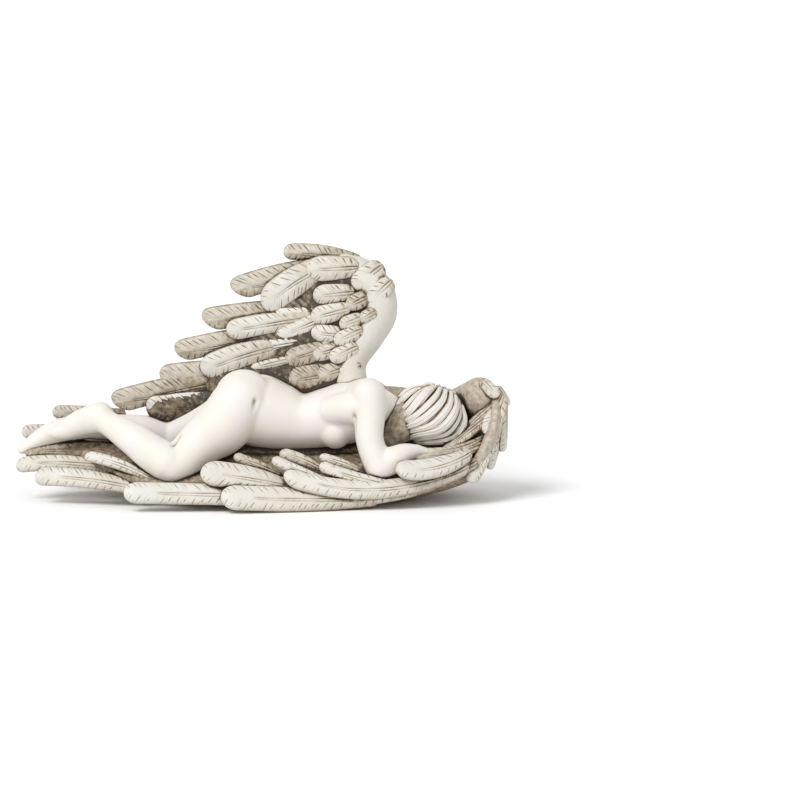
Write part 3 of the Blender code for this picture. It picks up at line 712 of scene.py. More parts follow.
    def arms(self) -> list:
        """Both arms, folded under the head."""
        forms = []
        near = [
            at(21.5, -20.0, 42.8),
            at(21.8, -22.5, 34.9),
            at(21.7, -25.6, 25.9),
            at(23.6, -28.1, 15.6),
            at(26.6, -27.5, 18.6),
            at(28.6, -25.6, 20.7),
            at(31.1, -22.5, 21.3),
            at(34.0, -17.5, 19.7),
        ]
        far = [
            at(22.2, 20.0, 37.6),
            at(22.7, 23.1, 29.2),
            at(23.1, 25.0, 18.4),
            at(24.8, 26.2, 9.2),
            at(28.1, 23.8, 11.1),
            at(30.9, 20.0, 12.8),
            at(34.1, 15.0, 14.1),
            at(38.0, 8.8, 15.2),
        ]
        a, w = self.arm, self.wrist
        for shoulder, upper, low, elbow, fore, middle, wrist, hand in (near, far):
            forms += [
                Limb(
                    [shoulder, upper, low, elbow],
                    [self.shoulder * 0.92, a * 1.02, a * 0.95, a * 0.95],
                    [self.shoulder * 0.9, a * 1.03, a * 0.98, a],
                    up=AWAY,
                ),
                Limb(
                    [elbow, fore, middle, wrist],
                    [a * 0.95, a * 0.88, a * 0.72, w],
                    [a * 1.02, a * 0.92, a * 0.68, w * 0.8],
                ),
                Limb([wrist, hand], [w, w * 1.2], [w * 0.75, w * 0.5], steps=10),
            ]
        return forms

    def creases(self) -> list[Crease]:
        """Lines where the skin folds, the back dips or the toes part."""
        folds = [
            Crease(
                [at(-1.0, -20.6, 40.5), at(-1.2, -23.1, 34.5), at(-2.0, -23.8, 28.7), at(-3.4, -22.5, 23.1)],
                2.2 * MM,
                1.9 * MM,
            ),
            Crease(
                [at(-15.9, -26.2, 27.6), at(-17.0, -30.0, 24.2), at(-17.8, -33.8, 20.8)],
                1.8 * MM,
                1.5 * MM,
            ),
            Crease(
                [at(18.7, -25.0, 37.2), at(18.7, -26.2, 32.2), at(18.8, -26.2, 26.0), at(19.2, -26.2, 19.7)],
                1.4 * MM,
                1.6 * MM,
            ),
            Crease(
                [at(-7.7, 0.0, 43.9), at(-5.2, 0.0, 47.5), at(-2.8, 0.0, 49.4), at(0.0, 0.0, 48.2)],
                4.0 * MM,
                3.2 * MM,
            ),
            Crease([at(3.3, 0.0, 45.0), at(8.3, 0.0, 39.8), at(16.4, 0.0, 42.1)], 1.2 * MM, 4.0 * MM),
        ]
        for i in range(4):
            rise = 28.648 - 1.349 * i
            folds.append(Crease([at(-40.6, -14.4, rise), at(-37.2, -15.3, rise)], 0.95 * MM, 0.62 * MM))
        return folds

    def build(self) -> bpy.types.Object:
        """Run the forms together and press in the creases."""
        forms = self.trunk() + self.near_leg() + self.far_leg() + self.arms()
        forms.append(Swell(HEAD.centre, tuple(HEAD.sizes * 0.98)))
        body = Mesher.fuse(Mesher.join("figure", [form.shell() for form in forms]), self.voxel, 12)
        spots, cut = Mesher.points(body), np.zeros(len(body.data.vertices))
        for crease in self.creases():
            spots, cut = crease.press(spots, Mesher.normals(body), cut)
            Mesher.place(body, spots)
        Mesher.mark(body, "cut", cut)
        return body


@dataclass
class Head:
    """Head under its hair: place and half sizes, which the locks follow."""

    centre: np.ndarray
    sizes: np.ndarray

    def spot(self, side: float, rise: float, toward: float, out: float) -> np.ndarray:
        """Point over the head, or beyond its outline at the edge's depth.

        Args:
            side: Share of its half length.
            rise: Share of its half height.
            toward: -1 for the viewer's side, 1 for the far side.
            out: Distance outside the skin.

        Returns:
            The point.
        """
        bulge = math.sqrt(max(1.0 - side * side - rise * rise, 0.09))
        way = np.array((side, toward * bulge, rise))
        return self.centre + way * self.sizes + unit(way) * out


HEAD = Head(at(34.0, -2.5, 32.6), np.array((26.0, 25.0, 23.0)) * MM)


@dataclass
class Hair:
    """Thick locks that sweep in long waves from the crown over both sides of the head to the nape."""

    radius: float = 3.5 * MM
    strands: int = 11
    strand_depth: float = 0.16
    samples: int = 60
    profile: int = 44

    def lines(self) -> list:
        """Path of each lock over the head, in shares of its half sizes, and its thickness.

        Returns:
            Pairs of the path's spots and a share of the usual radius.
        """
        return [
            ([(-0.30, 0.93), (-0.62, 0.70), (-0.92, 0.38), (-1.20, 0.12)], 0.9),
            ([(-0.10, 0.98), (-0.42, 0.72), (-0.80, 0.28), (-1.22, -0.06)], 0.8),
            ([(0.10, 0.99), (-0.18, 0.74), (-0.62, 0.20), (-1.22, -0.26)], 1.1),
            ([(0.26, 0.96), (0.06, 0.62), (-0.44, 0.12), (-0.88, -0.16), (-1.24, -0.46)], 0.85),
            ([(0.42, 0.90), (0.26, 0.52), (-0.24, 0.02), (-0.78, -0.28), (-1.22, -0.66)], 1.15),
            ([(0.56, 0.82), (0.46, 0.40), (0.02, -0.12), (-0.62, -0.40), (-1.16, -0.82)], 0.85),
            ([(0.68, 0.70), (0.62, 0.26), (0.24, -0.24), (-0.42, -0.48), (-1.04, -0.90)], 1.15),
            ([(0.78, 0.56), (0.76, 0.08), (0.42, -0.40), (-0.20, -0.58), (-0.86, -0.86)], 0.85),
            ([(0.86, 0.38), (0.86, -0.12), (0.58, -0.56), (0.02, -0.72), (-0.62, -0.78)], 1.1),
            (
                [(0.91, 0.18), (0.90, -0.34), (0.66, -0.74), (0.18, -0.90), (-0.34, -0.86), (-0.60, -0.66)],
                0.9,
            ),
            (
                [(0.95, -0.04), (0.92, -0.54), (0.66, -0.92), (0.30, -1.04), (-0.12, -1.02), (-0.40, -0.86)],
                0.8,
            ),
        ]

    def guides(self) -> bpy.types.Object:
        """Curve object with one line for each lock."""
        data = bpy.data.curves.new("lock_guides", "CURVE")
        data.dimensions = "3D"
        for toward in (-1.0, 1.0):
            for i, (path, share) in enumerate(self.lines()):
                thick = self.radius * share
                rise = (0.42, 0.10, 0.55)[i % 3] * self.radius
                path = spline(path, 12)
                if toward > 0:
                    path = path * np.array((1.0, 0.97)) + np.array((-0.03, 0.03))
                spots = [
                    HEAD.spot(u, v, toward, rise * math.sin(math.pi * min(1.0, 0.12 + k / 9)) - 0.3 * thick)
                    for k, (u, v) in enumerate(path)
                ]
                line = spline(spots, self.samples)
                size = spline([(0.55,), (1.0,), (1.15,), (1.0,), (0.55,)], self.samples)[:, 0]
                run = data.splines.new("POLY")
                run.points.add(len(line) - 1)
                run.points.foreach_set("co", np.hstack([line, np.ones((len(line), 1))]).ravel())
                run.points.foreach_set("radius", (size * thick).astype(np.float32))
        body = bpy.data.objects.new("locks", data)
        bpy.context.scene.collection.objects.link(body)
        return body

    def tree(self) -> tuple[bpy.types.NodeTree, dict]:
        """Nodes that sweep a grooved section along each guide.

        Returns:
            The tree, and its input identifiers by name.
        """
        tree = bpy.data.node_groups.new("grooved_lock", "GeometryNodeTree")
        face = tree.interface
        inputs = {}
        for name, kind in (
            ("Guides", "NodeSocketGeometry"),
            ("Section Points", "NodeSocketInt"),
            ("Strands", "NodeSocketInt"),
            ("Strand Depth", "NodeSocketFloat"),
            ("Finish", "NodeSocketMaterial"),
        ):
            inputs[name] = face.new_socket(name, in_out="INPUT", socket_type=kind).identifier
        face.new_socket("Locks", in_out="OUTPUT", socket_type="NodeSocketGeometry")
        start = add_node(tree, "NodeGroupInput").outputs
        round_section = {"Resolution": start["Section Points"], "Radius": 1.0}
        circle = add_node(tree, "GeometryNodeCurvePrimitiveCircle", links=round_section)
        deep = add_node(tree, "GeometryNodeInputIndex").outputs[0]
        for kind, other in (
            ("DIVIDE", start["Section Points"]),
            ("MULTIPLY", start["Strands"]),
            ("MULTIPLY", math.pi),
            ("SINE", 0.0),
            ("ABSOLUTE", 0.0),
            ("SUBTRACT", 1.0),
            ("MULTIPLY", start["Strand Depth"]),
        ):
            deep = add_node(tree, "ShaderNodeMath", {"operation": kind}, {0: deep, 1: other}).outputs[0]
        spot = add_node(tree, "GeometryNodeInputPosition").outputs[0]
        shift = add_node(tree, "ShaderNodeVectorMath", {"operation": "SCALE"}, {0: spot, "Scale": deep})
        moved = {"Geometry": circle.outputs["Curve"], "Offset": shift.outputs[0]}
        section = add_node(tree, "GeometryNodeSetPosition", links=moved)
        radius = add_node(tree, "GeometryNodeInputRadius").outputs[0]
        sweep = add_node(
            tree,
            "GeometryNodeCurveToMesh",
            links={
                "Curve": start["Guides"],
                "Profile Curve": section.outputs["Geometry"],
                "Scale": radius,
                "Fill Caps": True,
            },
        )
        real = add_node(tree, "GeometryNodeRealizeInstances", links={"Geometry": sweep.outputs["Mesh"]})
        finished = {"Geometry": real.outputs["Geometry"], "Material": start["Finish"]}
        dress = add_node(tree, "GeometryNodeSetMaterial", links=finished)
        add_node(tree, "NodeGroupOutput", links={0: dress.outputs["Geometry"]})
        return tree, inputs

    def build(self, finish: bpy.types.Material) -> bpy.types.Object:
        """Sweep the locks and lay them on the head.

        Args:
            finish: Material of the locks.

        Returns:
            The hair as one mesh object.
        """
        guides = self.guides()
        tree, inputs = self.tree()
        sweep = guides.modifiers.new("Locks", "NODES")
        sweep.node_group = tree
        for name, value in (
            ("Section Points", self.profile),
            ("Strands", self.strands),
            ("Strand Depth", self.strand_depth),
            ("Finish", finish),
        ):
            sweep[inputs[name]] = value
        seen = guides.evaluated_get(bpy.context.evaluated_depsgraph_get())
        mesh = bpy.data.meshes.new_from_object(seen)
        guides.modifiers.clear()
        bpy.data.objects.remove(guides)
        locks = np.empty(len(mesh.vertices) * 3)
        mesh.vertices.foreach_get("co", locks)
        faces = [list(p.vertices) for p in mesh.polygons]
        locks = locks.reshape(-1, 3)
        shells = [Shell(locks, faces, np.zeros((len(locks), len(MARKS) + 2)))]
        # The head and the nape under the locks have a high wash share: painted shade between and under the
        # locks, with the brown wash.
        nape = Limb(
            [at(32.4, -1.9, 34.9), at(29.1, -3.8, 31.2), at(27.1, -5.0, 27.4), at(25.8, -5.6, 24.3)],
            times(MM, 20, 19, 17, 14),
            times(MM, 18, 16, 13, 10),
            tone=0.5,
        )
        shells += [Swell(HEAD.centre, tuple(HEAD.sizes), tone=0.6).shell(), nape.shell()]
        return Mesher.join("hair", shells)


@dataclass
class RaisedWing:
    """Wing held up behind the back: smooth arm and rows of feathers that lap over each other."""

    arm: float = 13.0 * MM
    thick: float = 7.5 * MM
    small_thick: float = 5.5 * MM

    def arm_forms(self) -> list:
        """Leading edge, from the shoulder blade up to the crest, and the filling behind the rows."""
        sizes = times(self.arm, 0.9, 0.8, 0.98, 1.05, 1.0, 0.85, 0.6)
        spots = [
            at(17.9, 3.8, 44.9),
            at(18.3, 5.0, 53.5),
            at(21.0, 6.2, 63.3),
            at(23.4, 6.9, 72.3),
            at(22.9, 7.5, 81.4),
            at(20.0, 8.8, 88.0),
            at(16.6, 10.0, 91.9),
        ]
        forms = [Limb(spots, sizes, sizes, up=AWAY, steps=90, tone=0.08)]
        # The plain fillings behind the rows have a high wash share: painted shade in the gaps between the
        # feathers.
        for start, end, share in (
            (at(24.0, 5.6, 81.1), at(5.8, 11.9, 82.8), 0.20),
            (at(24.0, 5.0, 71.3), at(0.5, 11.9, 67.4), 0.21),
            (at(19.9, 5.0, 59.8), at(-4.8, 12.5, 55.4), 0.21),
            (at(17.5, 5.6, 47.9), at(-11.8, 13.1, 43.1), 0.17),
            (at(7.3, 10.0, 38.8), at(-24.1, 15.0, 33.8), 0.12),
        ):
            forms.append(
                Feather(
                    start,
                    end,
                    share * HEIGHT,
                    self.thick * 1.9,
                    carving=Carving.PLAIN,
                    tone=0.75,
                    pitch=2 * MM,
                    taper=0.95,
                )
            )
        return forms

    def long_feathers(self) -> list:
        """Longest feathers, behind all others, with painted shade on the half below the shaft."""
        rows = (
            (at(20.0, 9.4, 92.4), at(4.1, 11.9, 95.9), 12.5, 3.0, 0.2, 0.24, 0.16),
            (at(13.5, 9.4, 91.2), at(-6.2, 13.8, 80.8), 18.5, 1.5, 0.55, 0.24, 0.16),
            (at(9.5, 9.4, 74.2), at(-12.3, 14.4, 68.9), 18.0, 1.0, 0.5, 0.24, 0.16),
            (at(5.4, 10.0, 64.7), at(-18.0, 15.0, 56.2), 17.0, 1.5, 0.4, 0.24, 0.16),
            (at(2.3, 10.6, 49.2), at(-21.2, 15.6, 45.8), 20.0, 1.5, 0.35, 0.24, 0.16),
            (at(-6.9, 11.9, 45.9), at(-30.9, 16.9, 35.7), 18.0, 2.0, 0.5, 0.24, 0.16),
            (at(-2.9, 10.6, 38.0), at(-23.9, 13.1, 34.4), 16.5, 1.5, 0.3, 0.02, 0.1),
        )
        looks = {"thickness": self.thick, "shaft": -0.35, "seen": 62 * MM}
        return plume(rows, "width bend skew tone low_tone", 60, **looks)

    def middle_feathers(self) -> list:
        """Second row, the palest."""
        rows = (
            (at(14.7, 6.2, 73.6), at(2.3, 8.8, 70.8), 13.0, 0.0, 0.2),
            (at(14.7, 6.2, 92.2), at(0.1, 9.4, 74.3), 23.0, 4.0, 0.1),
            (at(11.0, 6.2, 70.9), at(-7.4, 10.0, 64.8), 16.5, 1.0, 0.15),
            (at(9.0, 6.2, 61.4), at(-4.0, 9.7, 56.9), 13.0, 0.5, 0.1),
            (at(2.5, 6.9, 59.0), at(-12.6, 11.2, 48.9), 20.0, 2.0, 0.2),
            (at(5.7, 6.2, 54.3), at(-2.6, 9.4, 50.5), 8.5, 0.0, 0.0),
            (at(14.1, 5.0, 71.8), at(2.9, 8.1, 62.9), 16.0, 0.5, 0.1),
        )
        looks = {"thickness": self.thick, "shaft": -0.1, "tone": 0.02, "low_tone": 0.05}
        return plume(rows, "width bend skew", 80, **looks)

    def covert_feathers(self) -> list:
        """Third row: short round feathers, brown towards the back."""
        rows = (
            (at(15.1, 3.1, 60.0), at(4.5, 6.2, 53.9), 16.5, 0.34),
            (at(19.6, 3.8, 90.7), at(8.9, 6.2, 89.5), 19.5, 0.05),
            (at(18.7, 3.1, 80.9), at(10.2, 5.6, 79.2), 16.5, 0.10),
            (at(18.5, 1.9, 63.7), at(9.8, 4.4, 65.1), 14.0, 0.06),
            (at(17.9, 2.5, 74.7), at(9.8, 5.0, 70.6), 15.5, 0.03),
            (at(17.9, 1.9, 60.1), at(9.8, 4.4, 56.0), 13.5, 0.16),
            (at(16.1, 3.8, 49.6), at(4.7, 6.2, 45.6), 21.0, 0.36),
            (at(18.3, 1.9, 52.2), at(11.0, 4.4, 47.7), 15.0, 0.22),
        )
        looks = {"thickness": self.thick, "shaft": -0.05, "low_tone": 0.05, "cut_spacing": 4.2 * MM}
        return plume(rows, "width tone", 100, **looks)

    def small_feathers(self) -> list:
        """Fourth row, flat on the arm."""
        rows = (
            (at(19.9, 0.0, 53.1), at(15.6, 0.6, 49.6), 8.5, 0.05),
            (at(19.5, -0.6, 59.9), at(13.6, 0.6, 54.7), 12.5, 0.05),
            (at(20.3, -0.6, 66.6), at(14.5, 0.6, 61.4), 12.0, 0.06),
            (at(20.3, 0.0, 71.3), at(15.6, 1.2, 67.7), 11.5, 0.12),
            (at(23.1, -0.9, 73.7), at(19.7, 0.0, 70.1), 10.5, 0.18),
            (at(21.5, 0.6, 79.5), at(16.9, 2.5, 75.1), 13.5, 0.26),
            (at(24.4, 2.5, 91.6), at(18.3, 3.8, 82.5), 19.0, 0.03),
            (at(26.2, 0.6, 85.8), at(21.5, 0.6, 77.1), 15.5, 0.02),
        )
        looks = {"thickness": self.small_thick, "shaft": 0.0, "taper": 0.8, "cut_spacing": 3.4 * MM}
        return plume(rows, "width tone", 120, **looks)

    def back_rows(self) -> list:
        """Plainer rows on the far side."""
        looks = {"face": AWAY, "carving": Carving.PLAIN, "pitch": 0.8 * MM, "tone": 0.2}
        rows = feather_row(
            [at(-0.3, 18.8, 80.4), at(-4.8, 20.0, 67.2), at(-8.5, 20.6, 56.4), at(-11.9, 21.2, 45.9)],
            [at(17.7, 15.0, 85.3), at(16.6, 15.0, 70.2), at(14.6, 15.0, 59.4), at(11.1, 15.6, 48.6)],
            4,
            [25 * MM],
            self.thick,
            seed=11,
            **looks,
        )
        rows += feather_row(
            [at(9.1, 19.4, 84.3), at(7.5, 20.0, 71.1), at(5.4, 20.0, 59.1), at(4.1, 20.0, 47.0)],
            [at(23.7, 10.6, 80.8), at(24.1, 10.0, 70.5), at(21.3, 10.0, 60.2), at(19.2, 9.4, 50.7)],
            4,
            [24 * MM],
            self.thick,
            seed=12,
            **looks,
        )
        return rows

    def build(self) -> list[bpy.types.Object]:
        """Both halves of the wing: the long feathers, and the rows nearer the arm."""
        far = self.long_feathers() + self.back_rows()
        near = self.arm_forms() + self.middle_feathers() + self.covert_feathers() + self.small_feathers()
        return [
            Mesher.join("raised_wing_flight_feathers", [form.shell() for form in far]),
            Mesher.join("raised_wing_coverts", [form.shell() for form in near]),
        ]


@dataclass
class WingBed:
    """Wing spread under the figure: filled mound, rims of long feathers, and the curled end."""

    feather: float = 13.5 * MM
    thick: float = 9.0 * MM
    curl_thick: float = 6.5 * MM

    def mound(self) -> list:
        """Filled middle that the figure lies on."""
        # The mound has a high wash share: painted shade under the figure and between the feathers, with the
        # brown wash.
        return [
            Limb(
                [
                    at(-39.3, 2.5, 18.7),
                    at(-31.2, 1.2, 14.8),
                    at(-21.1, -1.2, 10.1),
                    at(-7.0, -1.2, 7.5),
                    at(7.2, 0.0, 6.8),
                    at(21.5, 0.0, 7.3),
                    at(33.7, 0.0, 10.4),
                    at(41.0, 0.0, 13.1),
                    at(44.3, 0.0, 17.8),
                ],
                times(DEPTH, 0.08, 0.19, 0.31, 0.37, 0.40, 0.37, 0.30, 0.23, 0.15),
                times(MM, 9, 12, 16, 19, 20, 19, 16, 12, 9),
                fullness=1.7,
                steps=120,
                sides=90,
                tone=0.62,
            ),
            Limb(
                [
                    at(-17.1, 0.0, 14.7), at(-2.9, 0.0, 12.9), at(11.3, 0.0, 12.7), at(27.6, 0.0, 13.3),
                    at(37.8, 0.0, 14.7),
                ],
                times(MM, 26, 34, 38, 38, 26),
                times(MM, 12, 12, 12, 13, 12),
                steps=90,
                sides=60,
                tone=0.7,
            ),
            Limb(
                [
                    at(-13.1, 3.8, 17.0), at(-0.9, 3.1, 18.1), at(13.4, 3.1, 17.9), at(27.6, 2.5, 19.3),
                    at(35.8, 1.2, 18.6),
                ],
                times(MM, 20, 20, 20, 22, 22),
                times(MM, 13, 12, 12, 12, 12),
                tone=0.7,
            ),
        ]

    def near_side(self) -> list:
        """Long feathers of the near rim and the short ones on the slope up to the figure."""
        slope = np.array((0.0, -0.85, 0.53))
        rows = (
            (at(-30.7, -2.5, 19.2), at(-47.9, -4.4, 18.5), 12.0, 7.0, 1.0, 0.0, 0.8, 0.45),
            (at(-29.3, -13.8, 13.0), at(-49.5, -7.5, 13.7), 13.0, 8.0, 2.5, 2.0, 0.7, 0.10),
            (at(-22.3, -27.5, 6.1), at(-45.1, -17.5, 10.6), 15.0, 8.5, 2.5, 2.0, 0.55, 0.05),
            (at(-21.1, -28.8, 10.5), at(-34.9, -19.4, 18.9), 8.5, 7.5, 1.5, 3.0, 0.6, 0.02),
            (at(1.5, -37.5, 5.5), at(-26.4, -41.2, 7.4), 17.0, 9.5, 0.5, 0.0, 0.9, 0.0),
            (at(23.7, -32.5, 3.3), at(-7.3, -45.0, 6.2), 19.5, 11.0, -0.5, 0.0, 0.45, 0.0),
            (at(7.8, -34.4, 7.7), at(-11.4, -38.8, 15.1), 20.0, 9.5, 1.5, 1.0, 0.35, 0.05),
            (at(4.3, -31.2, 12.8), at(-5.1, -28.8, 20.0), 7.5, 6.5, 0.0, 1.0, 0.6, 0.30),
            (at(12.2, -29.4, 14.8), at(3.9, -25.6, 20.9), 9.0, 6.5, 1.0, 1.0, 0.5, 0.20),
            (at(17.3, -35.0, 7.2), at(2.5, -31.9, 19.1), 8.0, 7.5, -1.0, 1.5, 0.6, 0.06),
            (at(19.8, -28.8, 14.2), at(11.8, -27.5, 19.6), 7.0, 6.0, 0.5, 1.0, 0.6, 0.10),
            (at(28.8, -33.8, 8.1), at(11.8, -32.5, 16.7), 9.5, 7.5, -2.5, 1.0, 0.7, 0.06),
            (at(41.9, -22.5, 15.8), at(4.9, -38.1, 13.3), 15.5, 9.5, -15.0, 0.0, 0.8, 0.0),
            (at(43.2, -20.0, 16.7), at(12.9, -36.2, 4.0), 11.0, 8.0, -9.0, 0.0, 0.8, 0.15),
            (at(41.9, -21.2, 20.4), at(27.0, -37.5, 15.6), 17.0, 9.0, -5.0, 0.0, 0.6, 0.0),
            (at(44.6, -13.8, 22.6), at(29.8, -25.0, 19.4), 8.0, 6.0, -4.0, 0.0, 0.8, 0.30),
            (at(45.1, -10.0, 25.3), at(32.7, -22.5, 20.7), 7.0, 6.0, -4.0, 0.0, 0.8, 0.25),
        )
        looks = {"face": slope, "shaft": -0.25, "seen": 110 * MM}
        return plume(rows, "width thickness bend lift taper tone", 200, **looks)

    def far_side(self) -> list:
        """Plainer feathers of the far rim."""
        w, t = self.feather, self.thick
        looks = {
            "face": np.array((0.0, 0.8, 0.6)),
            "carving": Carving.PLAIN,
            "pitch": 0.8 * MM,
            "seen": 80 * MM,
        }
        upper = (
            (at(-28.5, 21.2, 30.8), at(-43.6, 18.8, 31.9), 11, 7, 0.2),
            (at(-35.1, 13.8, 25.7), at(-49.6, 12.5, 24.5), 11, 7, 0.1),
        )
        lower = (
            (at(-23.5, 18.8, 19.0), at(-47.8, 15.0, 19.7), 16, 7, 0.3),
            (at(-19.4, 22.5, 22.5), at(-41.9, 21.2, 26.2), 16, 7, 0.3),
        )
        rows = plume(upper, "width thickness tone", 300, cut_spacing=4 * MM)
        rows += plume(lower, "width thickness tone", 302, **looks)
        rows += feather_row(
            [
                at(-44.9, 18.8, 14.4), at(-32.0, 31.2, 8.6), at(-15.6, 40.6, 4.8), at(3.3, 46.2, 3.8),
                at(20.1, 41.2, 5.4),
            ],
            [
                at(-23.6, 26.2, 10.8), at(-7.2, 35.0, 6.6), at(9.5, 39.4, 5.0), at(27.3, 35.6, 6.8),
                at(41.6, 22.5, 14.3),
            ],
            5,
            [w * 1.2, w * 1.4],
            t * 1.2,
            seed=32,
            **looks,
        )
        rows += feather_row(
            [
                at(-37.9, 21.2, 17.2), at(-23.7, 31.2, 12.6), at(-7.2, 36.2, 10.9), at(9.5, 36.2, 11.5),
                at(25.1, 31.2, 14.3),
            ],
            [
                at(-19.5, 26.2, 9.9), at(-5.1, 31.2, 7.4), at(11.6, 32.5, 7.0), at(28.2, 28.8, 9.7),
                at(41.5, 20.0, 16.3),
            ],
            5,
            [w * 1.2, w * 1.3],
            t,
            seed=33,
            **looks,
        )
        return rows

    def end_curl(self) -> list:
        """Arm of the wing behind the neck, and its wrist curled round the head."""
        forms = [
            Limb(
                [
                    at(18.0, 13.8, 36.7), at(24.9, 16.9, 37.5), at(32.1, 18.8, 36.0),
                    at(38.2, 16.2, 35.3), at(42.2, 10.0, 37.6), at(43.8, 3.8, 39.4),
                ],
                times(MM, 11, 10, 10, 11, 13, 13),
                times(MM, 11, 9.5, 9.5, 11, 14, 15),
                tone=0.42,
            ),
            Swell(at(43.9, 1.2, 39.6), (14 * MM, 15 * MM, 15 * MM), tone=0.42),
            Limb(
                [
                    at(45.6, 2.5, 41.5), at(46.9, -1.2, 35.5), at(46.7, -6.2, 28.1),
                    at(45.1, -11.2, 20.7), at(42.9, -16.2, 14.2),
                ],
                times(MM, 9, 13, 15, 14, 9),
                times(MM, 6, 5.5, 5.5, 5.5, 5),
                up=np.array((1.0, 0.0, 0.0)),
                tone=0.35,
            ),
            Limb(
                [
                    at(22.3, 22.5, 25.2), at(30.2, 23.1, 25.8), at(37.4, 21.2, 26.3),
                    at(42.4, 16.2, 26.8), at(45.8, 7.5, 27.7),
                ],
                times(MM, 6, 6, 6, 6, 6),
                times(MM, 18, 19, 20, 20, 18),
                tone=0.4,
            ),
        ]
        rows = (
            (at(44.0, -5.6, 47.1), at(47.4, -7.5, 40.7), 10.5, (0.25, -0.9, 0.35), 0.04),
            (at(48.4, -3.8, 41.3), at(45.2, -13.1, 26.1), 15.0, (-0.15, -0.97, 0.1), 0.04),
            (at(47.2, -9.4, 27.6), at(41.5, -23.8, 9.3), 12.0, (0.1, -0.95, 0.2), 0.04),
            (at(47.3, 0.0, 44.1), at(49.6, 0.0, 36.5), 8.0, (0.8, -0.55, 0.3), 0.04),
            (at(48.8, 2.5, 39.0), at(48.3, -2.5, 18.5), 11.0, (0.85, -0.5, 0.0), 0.04),
            (at(48.7, 2.5, 30.3), at(45.6, -8.8, 12.5), 12.0, (0.9, -0.35, 0.0), 0.04),
            (at(46.2, 8.8, 44.0), at(49.1, 13.8, 29.8), 13.0, (0.85, 0.5, 0.1), 0.04),
            (at(47.6, 12.5, 35.6), at(47.4, 16.2, 18.3), 14.0, (0.8, 0.6, 0.1), 0.04),
            (at(46.1, 15.0, 24.9), at(43.3, 18.8, 8.3), 14.0, (0.7, 0.7, 0.1), 0.04),
            (at(43.2, 16.2, 41.7), at(45.5, 22.5, 25.7), 14.0, (0.4, 0.9, 0.1), 0.04),
            (at(41.3, 22.5, 32.2), at(42.3, 26.2, 14.7), 14.0, (0.3, 0.95, 0.1), 0.04),
            (at(47.1, -6.2, 38.4), at(38.5, -10.0, 23.4), 9.0, (-0.5, -0.75, 0.45), 0.3),
            (at(46.4, -7.5, 33.8), at(36.5, -16.2, 19.9), 9.0, (-0.45, -0.75, 0.45), 0.3),
        )
        looks = {"thickness": self.curl_thick * 0.9, "cut_spacing": 4.0 * MM}
        return forms + plume(rows, "width face tone", 400, **looks)

    def build(self) -> list[bpy.types.Object]:
        """The mound with its near side, and the far side with the curled end."""
        near, far = self.mound() + self.near_side(), self.far_side() + self.end_curl()
        return [
            Mesher.join("wing_bed_near_side", [form.shell() for form in near]),
            Mesher.join("wing_bed_far_side", [form.shell() for form in far]),
        ]


